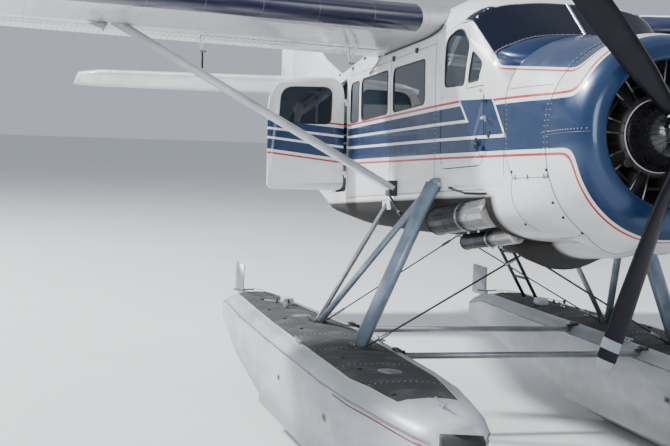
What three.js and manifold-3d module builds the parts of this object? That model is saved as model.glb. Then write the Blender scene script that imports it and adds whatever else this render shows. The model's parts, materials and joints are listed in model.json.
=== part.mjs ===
// A high-wing, strut-braced floatplane with a nine-cylinder radial engine, as an assembly of named parts.
// Units are millimetres. +X is forward, +Y is to port, +Z is up, and the keels of the floats rest on z = 0.
// The airframe is drawn in its own frame: s runs aft from the propeller's plane, z up from the thrust line.
// That frame stands nose-up by PITCH on the level floats.
import * as THREE from 'three';
import { mergeVertices } from 'three/addons/utils/BufferGeometryUtils.js';
import Module from 'manifold-3d';

const wasm = await Module();
wasm.setup();

const DEGREE = Math.PI / 180;

// Driving dimensions of the whole aircraft
const PITCH = 4.16 * DEGREE;
const HUB = { x: 6331.15, z: 2800 };
const HALF_SPAN = 8845;
const CHORD = 1980;
const DIHEDRAL = 2 * DEGREE;
const INCIDENCE = 2.5 * DEGREE;
const WALL = 45;
const SEAM = 0.5;
const DOOR_GAP = 8;
const PIN_GAP = 0.4;
const FLOOR_Z = -360;
const FIREWALL_S = 1270;
const CHIN_END_S = 1620;
const COWL_END_S = 640;
const BULKHEAD_S = 6590;

// Fuselage sections: station s, half-width w, belly zb, lower and upper ends of the straight side zs and zr,
// top zt, and the exponents nl and nu of the rounded belly and roof.
const NOSE_SECTIONS = [
  { s: COWL_END_S, w: 712, zb: -790, zs: -60, zr: 20, zt: 712, nl: 2.1, nu: 2.0 },
  { s: 950, w: 748, zb: -745, zs: -130, zr: 120, zt: 758, nl: 2.9, nu: 2.1 },
  { s: 1270, w: 772, zb: -744, zs: -190, zr: 220, zt: 795, nl: 3.4, nu: 2.2 },
  { s: 1620, w: 788, zb: -744, zs: -250, zr: 480, zt: 835, nl: 3.6, nu: 2.4 },
];
const CABIN_SECTIONS = [
  { s: 1270, w: 772, zb: -730, zs: -240, zr: 220, zt: 795, nl: 1.8, nu: 2.2 },
  { s: 1600, w: 787, zb: -735, zs: -300, zr: 470, zt: 833, nl: 1.8, nu: 2.4 },
  { s: 1990, w: 810, zb: -738, zs: -340, zr: 620, zt: 1140, nl: 1.8, nu: 3.8 },
  { s: 2600, w: 830, zb: -738, zs: -360, zr: 700, zt: 1300, nl: 2.0, nu: 3.2 },
  { s: 4700, w: 830, zb: -700, zs: -380, zr: 700, zt: 1290, nl: 2.4, nu: 3.0 },
  { s: 5600, w: 824, zb: -660, zs: -380, zr: 690, zt: 1235, nl: 2.6, nu: 2.8 },
  { s: 6590, w: 770, zb: -560, zs: -340, zr: 620, zt: 1195, nl: 2.6, nu: 2.6 },
];
const TAIL_SECTIONS = [
  { s: 6590, w: 770, zb: -560, zs: -340, zr: 620, zt: 1195, nl: 2.6, nu: 2.6 },
  { s: 8400, w: 560, zb: -180, zs: -40, zr: 640, zt: 1185, nl: 2.6, nu: 2.4 },
  { s: 10300, w: 330, zb: 240, zs: 340, zr: 740, zt: 1215, nl: 2.4, nu: 2.4 },
  { s: 11930, w: 130, zb: 560, zs: 640, zr: 900, zt: 1225, nl: 2.2, nu: 2.4 },
];
const COWL_SECTIONS = [
  { s: 140, w: 530, zb: -535, zs: -15, zr: 15, zt: 530, nl: 2, nu: 2 },
  { s: 160, w: 590, zb: -600, zs: -15, zr: 15, zt: 590, nl: 2, nu: 2 },
  { s: 215, w: 640, zb: -660, zs: -15, zr: 15, zt: 640, nl: 2, nu: 2 },
  { s: 330, w: 684, zb: -726, zs: -15, zr: 15, zt: 684, nl: 2, nu: 2 },
  { s: 480, w: 704, zb: -766, zs: -30, zr: 15, zt: 704, nl: 2, nu: 2 },
  { s: COWL_END_S - SEAM, w: 712, zb: -789, zs: -60, zr: 20, zt: 712, nl: 2.1, nu: 2 },
];
const BLISTER = { y: 235, z: -655, top: -565, side: 5 };
const BLISTER_SECTIONS = [
  { s: 350, half: 60, zb: -700 },
  { s: 400, half: 118, zb: -752 },
  { s: 500, half: 158, zb: -792 },
  { s: 640, half: 172, zb: -812 },
  { s: 780, half: 158, zb: -812 },
  { s: 900, half: 118, zb: -790 },
  { s: 960, half: 60, zb: -740 },
];
const COWL_BORE = [
  { s: 100, r: 488 },
  { s: 175, r: 488 },
  { s: 225, r: 560 },
  { s: 290, r: 640 },
  { s: 700, r: 660 },
];

// Outlines on the fuselage side: corners [s, z, radius], counted round the opening.
const SIDE_OUTLINE = [
  [FIREWALL_S + SEAM, FLOOR_Z, 0], [BULKHEAD_S - SEAM, FLOOR_Z, 0], [BULKHEAD_S - SEAM, 950, 0],
  [2590, 950, 0], [2590, 1008, 0], [2010, 1008, 0], [1570, 640, 0], [FIREWALL_S + SEAM, 560, 0],
];
const COCKPIT_DOOR = [
  [1655, -175, 90], [2560, -175, 90], [2560, 925, 90], [2250, 992, 120], [2060, 968, 90],
  [1925, 772, 60], [2008, 440, 40], [1655, 440, 50],
];
const COCKPIT_WINDOW = [
  [2055, 474, 40], [2470, 494, 50], [2458, 868, 80], [2250, 932, 120], [2115, 905, 80], [1965, 790, 50],
];
const QUARTER_WINDOW = [[1768, 486, 25], [1958, 482, 25], [1893, 716, 25], [1724, 612, 40]];
const REAR_DOOR = [[5610, -290, 90], [6420, -290, 90], [6420, 865, 350], [5610, 895, 200]];
const REAR_WINDOW = [[5760, 400, 60], [6290, 400, 60], [6270, 760, 130], [5750, 770, 80]];
const CABIN_WINDOWS = [
  [[2990, 400, 60], [3920, 400, 60], [3920, 790, 70], [2990, 775, 60]],
  [[4105, 400, 60], [5030, 400, 60], [5030, 805, 70], [4105, 795, 60]],
  [[5140, 405, 50], [5455, 405, 50], [5455, 800, 70], [5140, 800, 50]],
];
const WINDSCREEN_HALF = [
  [26, 862, 20], [300, 836, 90], [620, 742, 90], [700, 668, 60], [900, 668, 20], [900, 1010, 20], [620, 1052, 120],
  [26, 1112, 20],
];
const WINDSCREEN_S = [1450, 2060];
const WINDSCREEN_EDGE = [[1450, 569, 0], [1556, 657, 0], [2008, 1035, 0], [2150, 1154, 0], [1450, 1154, 0]];

// Door hinges: heights of the knuckle pairs on the hinge line
const COCKPIT_HINGE = { s: 1655, y: 803, heights: [-60, 330] };
const REAR_HINGE = { s: 5600, y: 838, heights: [-120, 620] };
const KNUCKLE = { r: 9, tall: 34, arm: 44, lugDeep: 90, strapDeep: 45, relief: 14 };
const FREE_EDGE_GAP = 6;
const REAR_DOOR_OPEN = 92;
const PANE = 8;
const GLASS_STRIP = [[2820, 365, 60], [5495, 365, 60], [5495, 840, 60], [2820, 840, 60]];
const WINDSCREEN_PANE = [[-900, 640, 20], [900, 640, 20], [900, 1105, 20], [-900, 1105, 20]];
const PANE_LAP = { side: 14, front: 22 };
const ROOT_RIB = 75;

// Powerplant
const CYLINDERS = 9;
const ENGINE = {
  caseR: 290, front: 400, rear: COWL_END_S - SEAM, plate: 34, barrelR: 76, headR: 96, reach: 615, baffleR: 645,
  tubeR: 9, spread: 0.13,
};
const BLADES = 3;
const EXHAUSTS = [
  { name: 'exhaust_upper', y: -700, z: -515, endY: -745, endZ: -590, endS: 2780, r: 118 },
  { name: 'exhaust_lower', y: -520, z: -690, endY: -530, endZ: -760, endS: 2700, r: 66 },
];
const PIPE = { wall: 6, open: 320 };
const SCOOP = { zs: -705, zr: -690, zt: -640, nl: 2, nu: 2 };
const SCOOP_SECTIONS = [
  { s: 905, w: 170, zb: -790 },
  { s: 1010, w: 250, zb: -845 },
  { s: 1480, w: 290, zb: -862 },
  { s: 1950, w: 390, zb: -962 },
  { s: 2250, w: 350, zb: -925 },
  { s: 2420, w: 320, zb: -866 },
  { s: 2860, w: 270, zb: -845 },
  { s: 2940, w: 150, zb: -780 },
];
const BLADE_ANGLE = 20.3 * DEGREE;
const BLADE_SECTIONS = [
  { r: 130, chord: 108, thick: 108, twist: 40 },
  { r: 300, chord: 132, thick: 84, twist: 40 },
  { r: 480, chord: 178, thick: 52, twist: 38 },
  { r: 850, chord: 208, thick: 34, twist: 31 },
  { r: 1250, chord: 206, thick: 22, twist: 24 },
  { r: 1560, chord: 178, thick: 13, twist: 19 },
  { r: 1650, chord: 128, thick: 9, twist: 18 },
];

// Wing, its surfaces and its strut, with chord fractions counted from the leading edge
const WING = { leS: 2604, leZ: 1063, refY: 830, rootY: 715, hinge: 0.715, gap: 0.012, thick: 0.15, camber: 0.04 };
const FLAP_Y = [960, 4900];
const AILERON_Y = [4930, 8330];
const BAY_END_GAP = 12;
const FLAP_HINGE = { spans: [1200, 2570, 4600], thick: 9, drop: 115, back: 40 };
const FLAP_BRACKET = [[-230, 140, 0], [-290, 140, 0], [-14, -14, 10], [14, -14, 10], [14, 16, 10]];
const FLAP_LUG = [[-14, -14, 10], [14, -14, 10], [150, 145, 0], [70, 145, 0], [-14, 14, 10]];
const AILERON_HINGE = {
  spans: [5300, 6650, 8050], x: 0.757, noseR: 75, bayR: 86, armHalf: 6, armTall: 22, slotHalf: 17,
  pinR: 9, pinHalf: 45,
};
const TIP_SECTIONS = [
  { y: 8500, scale: 1 },
  { y: 8720, scale: 0.93 },
  { y: HALF_SPAN, scale: 0.72 },
];
const LIFT_STRUT = {
  s: 3810, lowY: 866, lowZ: -300, topY: 3510, chord: 178, thick: 74, foot: 60, inner: 34, outer: 38,
};

// Tail. The upright surfaces are rows of height z, leading edge le, trailing edge te and half-thickness half.
const TAIL = {
  z: 1345, rootLe: 10330, tipLe: 10520, hingeS: 11600, rootTe: 12420, tipTe: 12270, tipY: 3230,
  rootY: 35, thick: 0.062, skin: 10, tubeR: 20, boreR: 20.8, axisBack: 45, fixedGap: 12, movingGap: 8, bossHalf: 60,
};
const RUDDER_SWEEP = { root: 75, flare: 395, end: 12600, back: 60, rib: 13, deep: 300 };
const DRAIN_R = 12;
const FIN_DRAIN_S = 10800;
const FIN_REAR = 11930;
const RUDDER_AXIS = 11955;
const RUDDER_FRONT = 11975;
const FIN_ROWS = [
  { z: 1140, le: 8300, te: FIN_REAR, half: 60 },
  { z: 1335, le: 9130, te: FIN_REAR, half: 60 },
  { z: 1590, le: 9900, te: FIN_REAR, half: 60 },
  { z: 1755, le: 10250, te: FIN_REAR, half: 58 },
  { z: 2180, le: 10700, te: FIN_REAR, half: 50 },
  { z: 2470, le: 11030, te: FIN_REAR, half: 42 },
  { z: 2590, le: 11320, te: FIN_REAR, half: 32 },
  { z: 2632, le: 11600, te: FIN_REAR, half: 18 },
];
const RUDDER_ROWS = [
  { z: 640, te: 12280, half: 26 },
  { z: 720, te: 12430, half: 36 },
  { z: 950, te: 12600, half: 42 },
  { z: 1350, te: 12750, half: 45 },
  { z: 2150, te: 12750, half: 42 },
  { z: 2440, te: 12660, half: 36 },
  { z: 2590, te: 12480, half: 26 },
  { z: 2632, te: 12250, half: 16 },
];
const CONE = { wall: 14, front: 30, rear: 110, hatchR: 150, hatchZ: 100 };
const CONE_HINGE = 820;
const FIN_HINGES = [1700, 2350];
const HINGE_PLATE = { half: 14, tall: 12 };

// Floats, in the level frame: station t aft of the bow, half-beam b, keel k, chine c, gunwale g, deck d
const FLOAT = { bow: 100, y: 1500, length: 7550, shoe: 22, crown: 45, bevel: 60 };
const FLOAT_DECK = 955;
const FOREBODY = [
  { t: 0, b: 150, k: 560, c: 660, g: 800, d: 860 },
  { t: 200, b: 262, k: 370, c: 520, g: 830, d: 890 },
  { t: 550, b: 350, k: 190, c: 410, g: 850, d: 915 },
  { t: 1150, b: 440, k: 50, c: 300, g: 865, d: 930 },
  { t: 1850, b: 475, k: 0, c: 255, g: 865, d: 930 },
  { t: 4150, b: 475, k: 0, c: 240, g: 865, d: 930 },
];
const AFTERBODY = [
  { t: 4100, b: 470, k: 75, c: 300, g: 864, d: 929 },
  { t: 5600, b: 420, k: 240, c: 415, g: 835, d: 890 },
  { t: 6900, b: 330, k: 420, c: 530, g: 815, d: 868 },
  { t: 7550, b: 250, k: 500, c: 560, g: 715, d: 768 },
];
const STERN = { postBack: 100, postR: 22, boreR: 22.8, low: 600, high: 690 };
const BUMPER = { top: 150, low: 130, tall: 290, back: 40, z: 735 };
const PADDLE = { long: 480, half: 7, z0: 770, z1: 1120, hornZ: 830, hornTall: 16, hornHalf: 120, hornDeep: 15 };
const BAR_S = [2630, 4080];
const BAR = { z: 895, short: 390, chord: 110, thick: 52 };
const LEGS = { front: [220, 110], thin: [95, 48], rear: [90, 42], spread: 40, bossR: 50, bossHalf: 60, bossIn: 30 };
const APEX = { s: 2600, y: 872, z: -290 };
const REAR_PIVOT = { s: 4130, y: 800, z: -420 };
const FOOT_Y = 1440;
const LADDER = {
  topS: [5740, 6120], topY: 805, topZ: -385, footS: [5700, 6080], footY: 1400, tubeR: 19, rungs: [0.23, 0.5, 0.77],
};

// Seats: stations of the cushion and back, inner and outer edge, heights of cushion and back
const FRONT_SEAT = { s: [2080, 2440, 2560], y: [110, 550], high: [30, 620] };
const BENCH = { s: [4650, 5050, 5170], y: [-640, 640], high: [30, 600] };
const PANEL = { aft: 1560, half: 640, z: [330, 600], gap: 12 };

const QUARTER_STEPS = 8;
const CURVE_STEPS = 4;

// Materials
const paint = (color, metalness = 0.1, roughness = 0.35) =>
  new THREE.MeshStandardMaterial({ color, metalness, roughness });
const WHITE = paint(0xe9ebec);
const BLUE = paint(0x2b5a8c, 0.4, 0.25);
const SILVER = paint(0xa9adb2, 0.8, 0.4);
const GREY = paint(0x8f9aa8, 0.5, 0.45);
const BLACK = paint(0x16171a, 0.1, 0.6);
const STEEL = paint(0x55524f, 0.8, 0.4);
const POLISH = paint(0xd8dadd, 1.0, 0.15);
const GLASS = paint(0x1c262b, 0.0, 0.08);
const RUBBER = paint(0x151515, 0.0, 0.9);
const SEAT = paint(0x4a4c50, 0.0, 0.9);

// Shape helpers

/** Point of the airframe: s aft, y to port, z up. */
const at = (s, y, z) => new THREE.Vector3(-s, y, z);

/** The same point in the level frame of the floats. */
function level(s, y, z) {
  const x = HUB.x - s * Math.cos(PITCH) - z * Math.sin(PITCH);
  return new THREE.Vector3(x, y, HUB.z - s * Math.sin(PITCH) + z * Math.cos(PITCH));
}

/** Closed body through rings of equal point counts, with fans over both ends. */
function loft(rings) {
  const count = rings[0].length;
  const points = rings.flat();
  const faces = [];
  for (let r = 0; r + 1 < rings.length; r += 1) {
    for (let i = 0; i < count; i += 1) {
      const a = r * count + i;
      const b = r * count + ((i + 1) % count);
      faces.push([a, b, b + count], [a, b + count, a + count]);
    }
  }
  for (const [ring, turn] of [[0, true], [rings.length - 1, false]]) {
    const centre = rings[ring].reduce((sum, p) => sum.add(p), new THREE.Vector3()).divideScalar(count);
    const hub = points.push(centre) - 1;
    for (let i = 0; i < count; i += 1) {
      const a = ring * count + i;
      const b = ring * count + ((i + 1) % count);
      faces.push(turn ? [b, a, hub] : [a, b, hub]);
    }
  }
  let volume = 0;
  for (const [a, b, c] of faces) {
    volume += points[a].dot(new THREE.Vector3().crossVectors(points[b], points[c]));
  }
  const index = faces.flatMap(([a, b, c]) => (volume > 0 ? [a, b, c] : [a, c, b]));
  const geometry = new THREE.BufferGeometry();
  geometry.setAttribute('position', new THREE.Float32BufferAttribute(points.flatMap((p) => p.toArray()), 3));
  geometry.setIndex(index);
  return geometry;
}

/** Manifold solid of a closed three.js geometry. */
function solid(geometry) {
  const bare = geometry.clone();
  bare.deleteAttribute('normal');
  bare.deleteAttribute('uv');
  const merged = mergeVertices(bare, 1e-3);
  return new wasm.Manifold(new wasm.Mesh({
    numProp: 3,
    vertProperties: new Float32Array(merged.attributes.position.array),
    triVerts: new Uint32Array(merged.index.array),
  }));
}

/** three.js geometry of a manifold solid. */
function geometryOf(manifold) {
  const mesh = manifold.getMesh();
  const geometry = new THREE.BufferGeometry();
  geometry.setAttribute('position', new THREE.Float32BufferAttribute(mesh.vertProperties, 3));
  geometry.setIndex(new THREE.Uint32BufferAttribute(mesh.triVerts, 1));
  geometry.computeVertexNormals();
  return geometry;
}

/** Ring of one fuselage section, pushed in by inset. */
function sectionRing(section, inset = 0) {
  const { s, zs, zr, nl, nu } = section;
  const w = section.w - inset;
  const zb = section.zb + inset;
  const zt = section.zt - inset;
  const half = [];
  for (let i = 0; i <= QUARTER_STEPS; i += 1) {
    const a = (i / QUARTER_STEPS) * (Math.PI / 2);
    half.push([w * Math.sin(a) ** (2 / nl), zs - (zs - zb) * Math.cos(a) ** (2 / nl)]);
  }
  for (let i = 0; i <= QUARTER_STEPS; i += 1) {
    const a = (i / QUARTER_STEPS) * (Math.PI / 2);
    half.push([w * Math.max(Math.cos(a), 0) ** (2 / nu), zr + (zt - zr) * Math.sin(a) ** (2 / nu)]);
  }
  const ring = half.map(([y, z]) => at(s, y, z));
  for (let i = half.length - 2; i > 0; i -= 1) {
    ring.push(at(s, -half[i][0], half[i][1]));
  }
  return ring;
}

/** Section of a table at any station, between its neighbours. */
function sectionAt(table, s) {
  const found = table.findIndex((row) => row.s >= s);
  const after = found < 0 ? table.length - 1 : Math.max(1, found);
  const [a, b] = [table[after - 1], table[after]];
  const t = (s - a.s) / (b.s - a.s);
  const mixed = {};
  for (const key of Object.keys(a)) {
    mixed[key] = a[key] + (b[key] - a[key]) * t;
  }
  return mixed;
}

/** Part of a sectioned body between two stations. */
function body(table, from, to, inset = 0) {
  const inside = table.filter((row) => row.s > from + 1 && row.s < to - 1);
  const rows = [sectionAt(table, from), ...inside, sectionAt(table, to)];
  return solid(loft(rows.map((row) => sectionRing(row, inset))));
}

/** Polygon with rounded corners given as [u, v, radius]. */
function rounded(corners, flip = 1) {
  const shape = new THREE.Shape();
  const n = corners.length;
  corners.forEach(([u, v, radius = 0], i) => {
    const corner = new THREE.Vector2(flip * u, v);
    const before = new THREE.Vector2(flip * corners[(i + n - 1) % n][0], corners[(i + n - 1) % n][1]).sub(corner);
    const after = new THREE.Vector2(flip * corners[(i + 1) % n][0], corners[(i + 1) % n][1]).sub(corner);
    const r = Math.min(radius, before.length() * 0.45, after.length() * 0.45);
    const start = corner.clone().add(before.setLength(r));
    const end = corner.clone().add(after.setLength(r));
    if (i === 0) {
      shape.moveTo(start.x, start.y);
    } else {
      shape.lineTo(start.x, start.y);
    }
    if (r > 0) {
      shape.quadraticCurveTo(corner.x, corner.y, end.x, end.y);
    }
  });
  shape.closePath();
  return shape;
}

/** Prism across the fuselage from an outline in s and z. */
function sidePrism(corners, y0, y1) {
  const depth = y1 - y0;
  const shape = rounded(corners, -1);
  const prism = new THREE.ExtrudeGeometry(shape, { depth, bevelEnabled: false, curveSegments: CURVE_STEPS });
  prism.rotateX(Math.PI / 2);
  prism.translate(0, y1, 0);
  return solid(prism);
}

/** Prism along the fuselage from an outline in y and z. */
function frontPrism(corners, s0, s1) {
  const prism = new THREE.ExtrudeGeometry(rounded(corners), {
    depth: s1 - s0, bevelEnabled: false, curveSegments: CURVE_STEPS,
  });
  const turn = new THREE.Matrix4().makeBasis(
    new THREE.Vector3(0, 1, 0), new THREE.Vector3(0, 0, 1), new THREE.Vector3(1, 0, 0),
  );
  prism.applyMatrix4(turn);
  prism.translate(-s1, 0, 0);
  return solid(prism);
}

/** Prism upward from an outline in s and y. */
function planPrism(corners, z0, z1) {
  const prism = new THREE.ExtrudeGeometry(rounded(corners, -1), { depth: z1 - z0, bevelEnabled: false });
  return solid(prism.translate(0, 0, z0));
}

/** Box between stations, widths and heights of the airframe. */
function block(s0, s1, y0, y1, z0, z1) {
  const box = new THREE.BoxGeometry(s1 - s0, y1 - y0, z1 - z0);
  box.translate(-(s0 + s1) / 2, (y0 + y1) / 2, (z0 + z1) / 2);
  return solid(box);
}

/** Outline moved outward by grow, its edges kept parallel. */
function grown(corners, grow) {
  const n = corners.length;
  const at2 = (i) => new THREE.Vector2(corners[(i + n) % n][0], corners[(i + n) % n][1]);
  const area = corners.reduce((sum, _, i) => sum + at2(i).cross(at2(i + 1)), 0);
  const out = Math.sign(area) * grow;
  return corners.map(([u, v, r], i) => {
    const into = at2(i).sub(at2(i - 1)).normalize();
    const away = at2(i + 1).sub(at2(i)).normalize();
    const reach = out / (1 + into.dot(away));
    const bend = Math.sign(into.cross(away)) * Math.sign(area);
    return [u + (into.y + away.y) * reach, v - (into.x + away.x) * reach, Math.max(r + bend * grow, 1)];
  });
}

/** Round rod or cone between two points. */
function rod(from, to, radius, sides = 12, endRadius = radius) {
  const axis = to.clone().sub(from);
  const tube = new THREE.CylinderGeometry(endRadius, radius, axis.length(), sides);
  tube.translate(0, axis.length() / 2, 0);
  tube.applyQuaternion(new THREE.Quaternion().setFromUnitVectors(
    new THREE.Vector3(0, 1, 0), axis.clone().normalize(),
  ));
  tube.translate(from.x, from.y, from.z);
  return solid(tube);
}

/** Streamlined strut between two points, its long section axis near the X axis. */
function fairedStrut(from, to, chord, thick) {
  const axis = to.clone().sub(from).normalize();
  const along = new THREE.Vector3(1, 0, 0).addScaledVector(axis, -axis.x).normalize();
  const across = new THREE.Vector3().crossVectors(axis, along);
  const sides = 14;
  const rings = [from, to].map((end) => Array.from({ length: sides }, (_, i) => {
    const a = (i / sides) * 2 * Math.PI;
    return end.clone()
      .addScaledVector(along, (Math.cos(a) * chord) / 2)
      .addScaledVector(across, (Math.sin(a) * thick) / 2);
  }));
  return solid(loft(rings));
}

/** Lathe about the thrust line from [s, radius] points that start and end on the axis. */
function turned(profile, segments = 36) {
  const lathe = new THREE.LatheGeometry(profile.map(([s, r]) => new THREE.Vector2(r, -s)).reverse(), segments);
  lathe.rotateZ(-Math.PI / 2);
  return solid(lathe);
}

const group = new THREE.Group();
const airframe = new THREE.Group();
airframe.position.set(HUB.x, 0, HUB.z);
airframe.rotation.y = -PITCH;
group.add(airframe);

function place(name, manifold, material, parent = airframe) {
  const mesh = new THREE.Mesh(geometryOf(manifold), material);
  mesh.name = name;
  parent.add(mesh);
  return mesh;
}

const SIDES = [['left', 1], ['right', -1]];

/** The solid joined with its mirror image. */
const bothSides = (manifold) => manifold.add(manifold.mirror([0, 1, 0]));

/** The solid on the other side of the aircraft when side is -1. */
const mirrored = (manifold, side) => (side > 0 ? manifold : manifold.mirror([0, 1, 0]));

// Wing sections

/** Upper and lower surface heights of the wing section at chord fraction x, per unit chord. */
function wingSurface(x) {
  const { thick, camber } = WING;
  const crest = 0.4;
  const half = 5 * thick * (0.2969 * Math.sqrt(x) - 0.126 * x - 0.3516 * x * x + 0.2843 * x ** 3 - 0.1036 * x ** 4);
  const line = x < crest
    ? (camber / crest ** 2) * (2 * crest * x - x * x)
    : (camber / (1 - crest) ** 2) * (1 - 2 * crest + 2 * crest * x - x * x);
  return [line + half, line - half];
}

/** Wing section between two chord fractions, as [x, z, side] per unit chord. A cut front is rounded. */
function wingProfile(from, to) {
  const steps = from > 0 ? 5 : 11;
  const upper = [];
  const lower = [];
  for (let i = 0; i <= steps; i += 1) {
    const t = i / steps;
    const x = from > 0 ? from + (to - from) * t : from + (to - from) * (1 - Math.cos(t * Math.PI / 2));
    const [top, under] = wingSurface(x);
    upper.push([x, top, 1]);
    lower.push([x, under, -1]);
  }
  if (from > 0) {
    const deep = upper[0][1] - lower[0][1];
    const base = lower[0][1];
    upper[0] = [from + 0.35 * deep, wingSurface(from + 0.35 * deep)[0], 1];
    lower[0] = [from + 0.1 * deep, wingSurface(from + 0.1 * deep)[1], -1];
    return [...upper.reverse(), [from, base + 0.6 * deep, 1], [from, base + 0.15 * deep, -1], ...lower];
  }
  return [...upper.reverse(), ...lower.slice(1)];
}

/** Point of the wing at u along and v square to the chord of span y. */
function wingPoint(u, v, y) {
  const s = WING.leS + u * Math.cos(INCIDENCE) + v * Math.sin(INCIDENCE);
  return at(s, y, wingZ(y) - u * Math.sin(INCIDENCE) + v * Math.cos(INCIDENCE));
}

/** Ring of a wing profile at span y, with its chord scaled about the middle of the chord. */
function wingRing(profile, y, scale = 1, grow = 0) {
  return profile.map(([x, z, face]) => {
    const u = (0.45 + (x - 0.45) * scale) * CHORD;
    return wingPoint(u, z * scale * CHORD + face * grow, y);
  });
}

const wingZ = (y) => WING.leZ + (y - WING.refY) * Math.tan(DIHEDRAL);

// Cabin, built as one thin-walled shell that is cut where its panels meet

const longCabin = [
  { ...CABIN_SECTIONS[0], s: FIREWALL_S - 40 },
  ...CABIN_SECTIONS.slice(1, -1),
  { ...CABIN_SECTIONS.at(-1), s: BULKHEAD_S + 40 },
];
const cabinOuter = body(CABIN_SECTIONS, FIREWALL_S + SEAM, BULKHEAD_S - SEAM);
const cabinInner = body(longCabin, FIREWALL_S - 40, BULKHEAD_S + 40, WALL);
const cabinShell = cabinOuter.subtract(cabinInner);
const wingPocket = solid(loft([WING.rootY - SEAM, 1400].map((y) => wingRing(wingProfile(0, 1), y, 1.0008, 0.5))));

/** The skin of the cabin between two stations, grown by SEAM to cut what lies on it. */
const skinBetween = (s0, s1) => bothSides(body(CABIN_SECTIONS, s0, s1, -SEAM));

/** Prism through one side of the cabin. */
const across = (corners, side) => (side > 0 ? sidePrism(corners, 300, 1300) : sidePrism(corners, -1300, -300));

/** Glass plate against the inner face of the cabin wall, behind an outline. */
function innerPane(region) {
  const near = body(CABIN_SECTIONS, FIREWALL_S + 60, BULKHEAD_S - 60, WALL + SEAM);
  const far = body(CABIN_SECTIONS, FIREWALL_S + 50, BULKHEAD_S - 50, WALL + SEAM + PANE);
  return near.subtract(far).intersect(region);
}

/** Fixed half of a door's hinge knuckles, on lugs that reach the skin ahead of the opening. */
function hingeLugs(hinge, side) {
  const { r, tall, arm, lugDeep } = KNUCKLE;
  return hinge.heights.map((z) => {
    const foot = block(hinge.s - arm, hinge.s, hinge.y - lugDeep, hinge.y + r * 0.7, z - tall, z - PIN_GAP);
    const barrel = rod(at(hinge.s, hinge.y, z - tall), at(hinge.s, hinge.y, z - PIN_GAP), r, 12);
    return mirrored(foot.subtract(cabinInner).add(barrel), side);
  }).reduce((sum, lug) => sum.add(lug));
}

function cabinSides() {
  for (const [word, side] of SIDES) {
    const half = side > 0 ? sidePrism(SIDE_OUTLINE, 0.3, 1200) : sidePrism(SIDE_OUTLINE, -1200, -0.3);
    let panel = cabinShell.intersect(half);
    for (const corners of [COCKPIT_DOOR, REAR_DOOR, QUARTER_WINDOW, ...CABIN_WINDOWS]) {
      panel = panel.subtract(across(corners, side));
    }
    panel = panel.add(hingeLugs(COCKPIT_HINGE, side)).add(hingeLugs(REAR_HINGE, side));
    place(`cabin_side_${word}`, panel, WHITE);
    place(`cabin_glass_${word}`, innerPane(across(GLASS_STRIP, side)), GLASS);
    place(`quarter_glass_${word}`, innerPane(across(grown(QUARTER_WINDOW, PANE_LAP.side), side)), GLASS);
  }
}

function cabinRoof() {
  const above = block(FIREWALL_S, BULKHEAD_S, -1200, 1200, 400, 1500)
    .subtract(sidePrism(grown(SIDE_OUTLINE, SEAM), -1200, 1200));
  const rootRibs = bothSides(block(2450, 4800, WING.rootY - ROOT_RIB, 1200, 951, 1500));
  let roof = cabinOuter.intersect(above).subtract(cabinInner.subtract(rootRibs));
  for (const [, side] of SIDES) {
    const half = WINDSCREEN_HALF.map(([y, z, r]) => [side * y, z, r]);
    const pane = frontPrism(half, ...WINDSCREEN_S).intersect(sidePrism(WINDSCREEN_EDGE, -1200, 1200));
    roof = roof.subtract(pane).subtract(mirrored(wingPocket, side));
  }
  place('cabin_roof', roof, WHITE);
  const lapped = frontPrism(WINDSCREEN_PANE, ...WINDSCREEN_S)
    .intersect(sidePrism(grown(WINDSCREEN_EDGE, PANE_LAP.front), -1200, 1200));
  place('windscreen_glass', innerPane(lapped), GLASS);
}

function cabinFloor() {
  const below = block(CHIN_END_S + SEAM, BULKHEAD_S - SEAM, -1200, 1200, -1200, FLOOR_Z - SEAM);
  place('belly_floor', cabinOuter.intersect(below), WHITE);
}

/** Door leaf with its window, hinge arms and pane, drawn shut and turned about its hinge by open degrees. */
function door(name, side, outline, window, hinge, open) {
  const { r, tall, arm, strapDeep, relief } = KNUCKLE;
  const aft = Math.max(...outline.map(([s]) => s));
  const freeEdge = block(aft - DOOR_GAP - FREE_EDGE_GAP, aft + 100, -1200, 1200, -999, 1500);
  let leaf = cabinShell.intersect(across(grown(outline, -DOOR_GAP), side)).subtract(across(window, side));
  leaf = leaf.subtract(freeEdge);
  for (const z of hinge.heights) {
    const strap = block(hinge.s, hinge.s + arm, hinge.y - strapDeep, hinge.y + r * 0.7, z, z + tall)
      .subtract(block(hinge.s - 1, hinge.s + DOOR_GAP + relief, 0, hinge.y - r * 0.7, z - 1, z + tall + 1));
    const barrel = rod(at(hinge.s, hinge.y, z), at(hinge.s, hinge.y, z + tall), r, 12);
    leaf = leaf.add(mirrored(strap.add(barrel), side));
  }
  const pivot = new THREE.Group();
  const post = at(hinge.s, side * hinge.y, 0);
  pivot.position.copy(post);
  pivot.rotation.z = -side * open * DEGREE;
  airframe.add(pivot);
  const shift = [-post.x, -post.y, 0];
  place(name, leaf.translate(shift), WHITE, pivot);
  place(`${name}_glass`, innerPane(across(grown(window, PANE_LAP.side), side)).translate(shift), GLASS, pivot);
}

// Nose, engine and propeller

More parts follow.
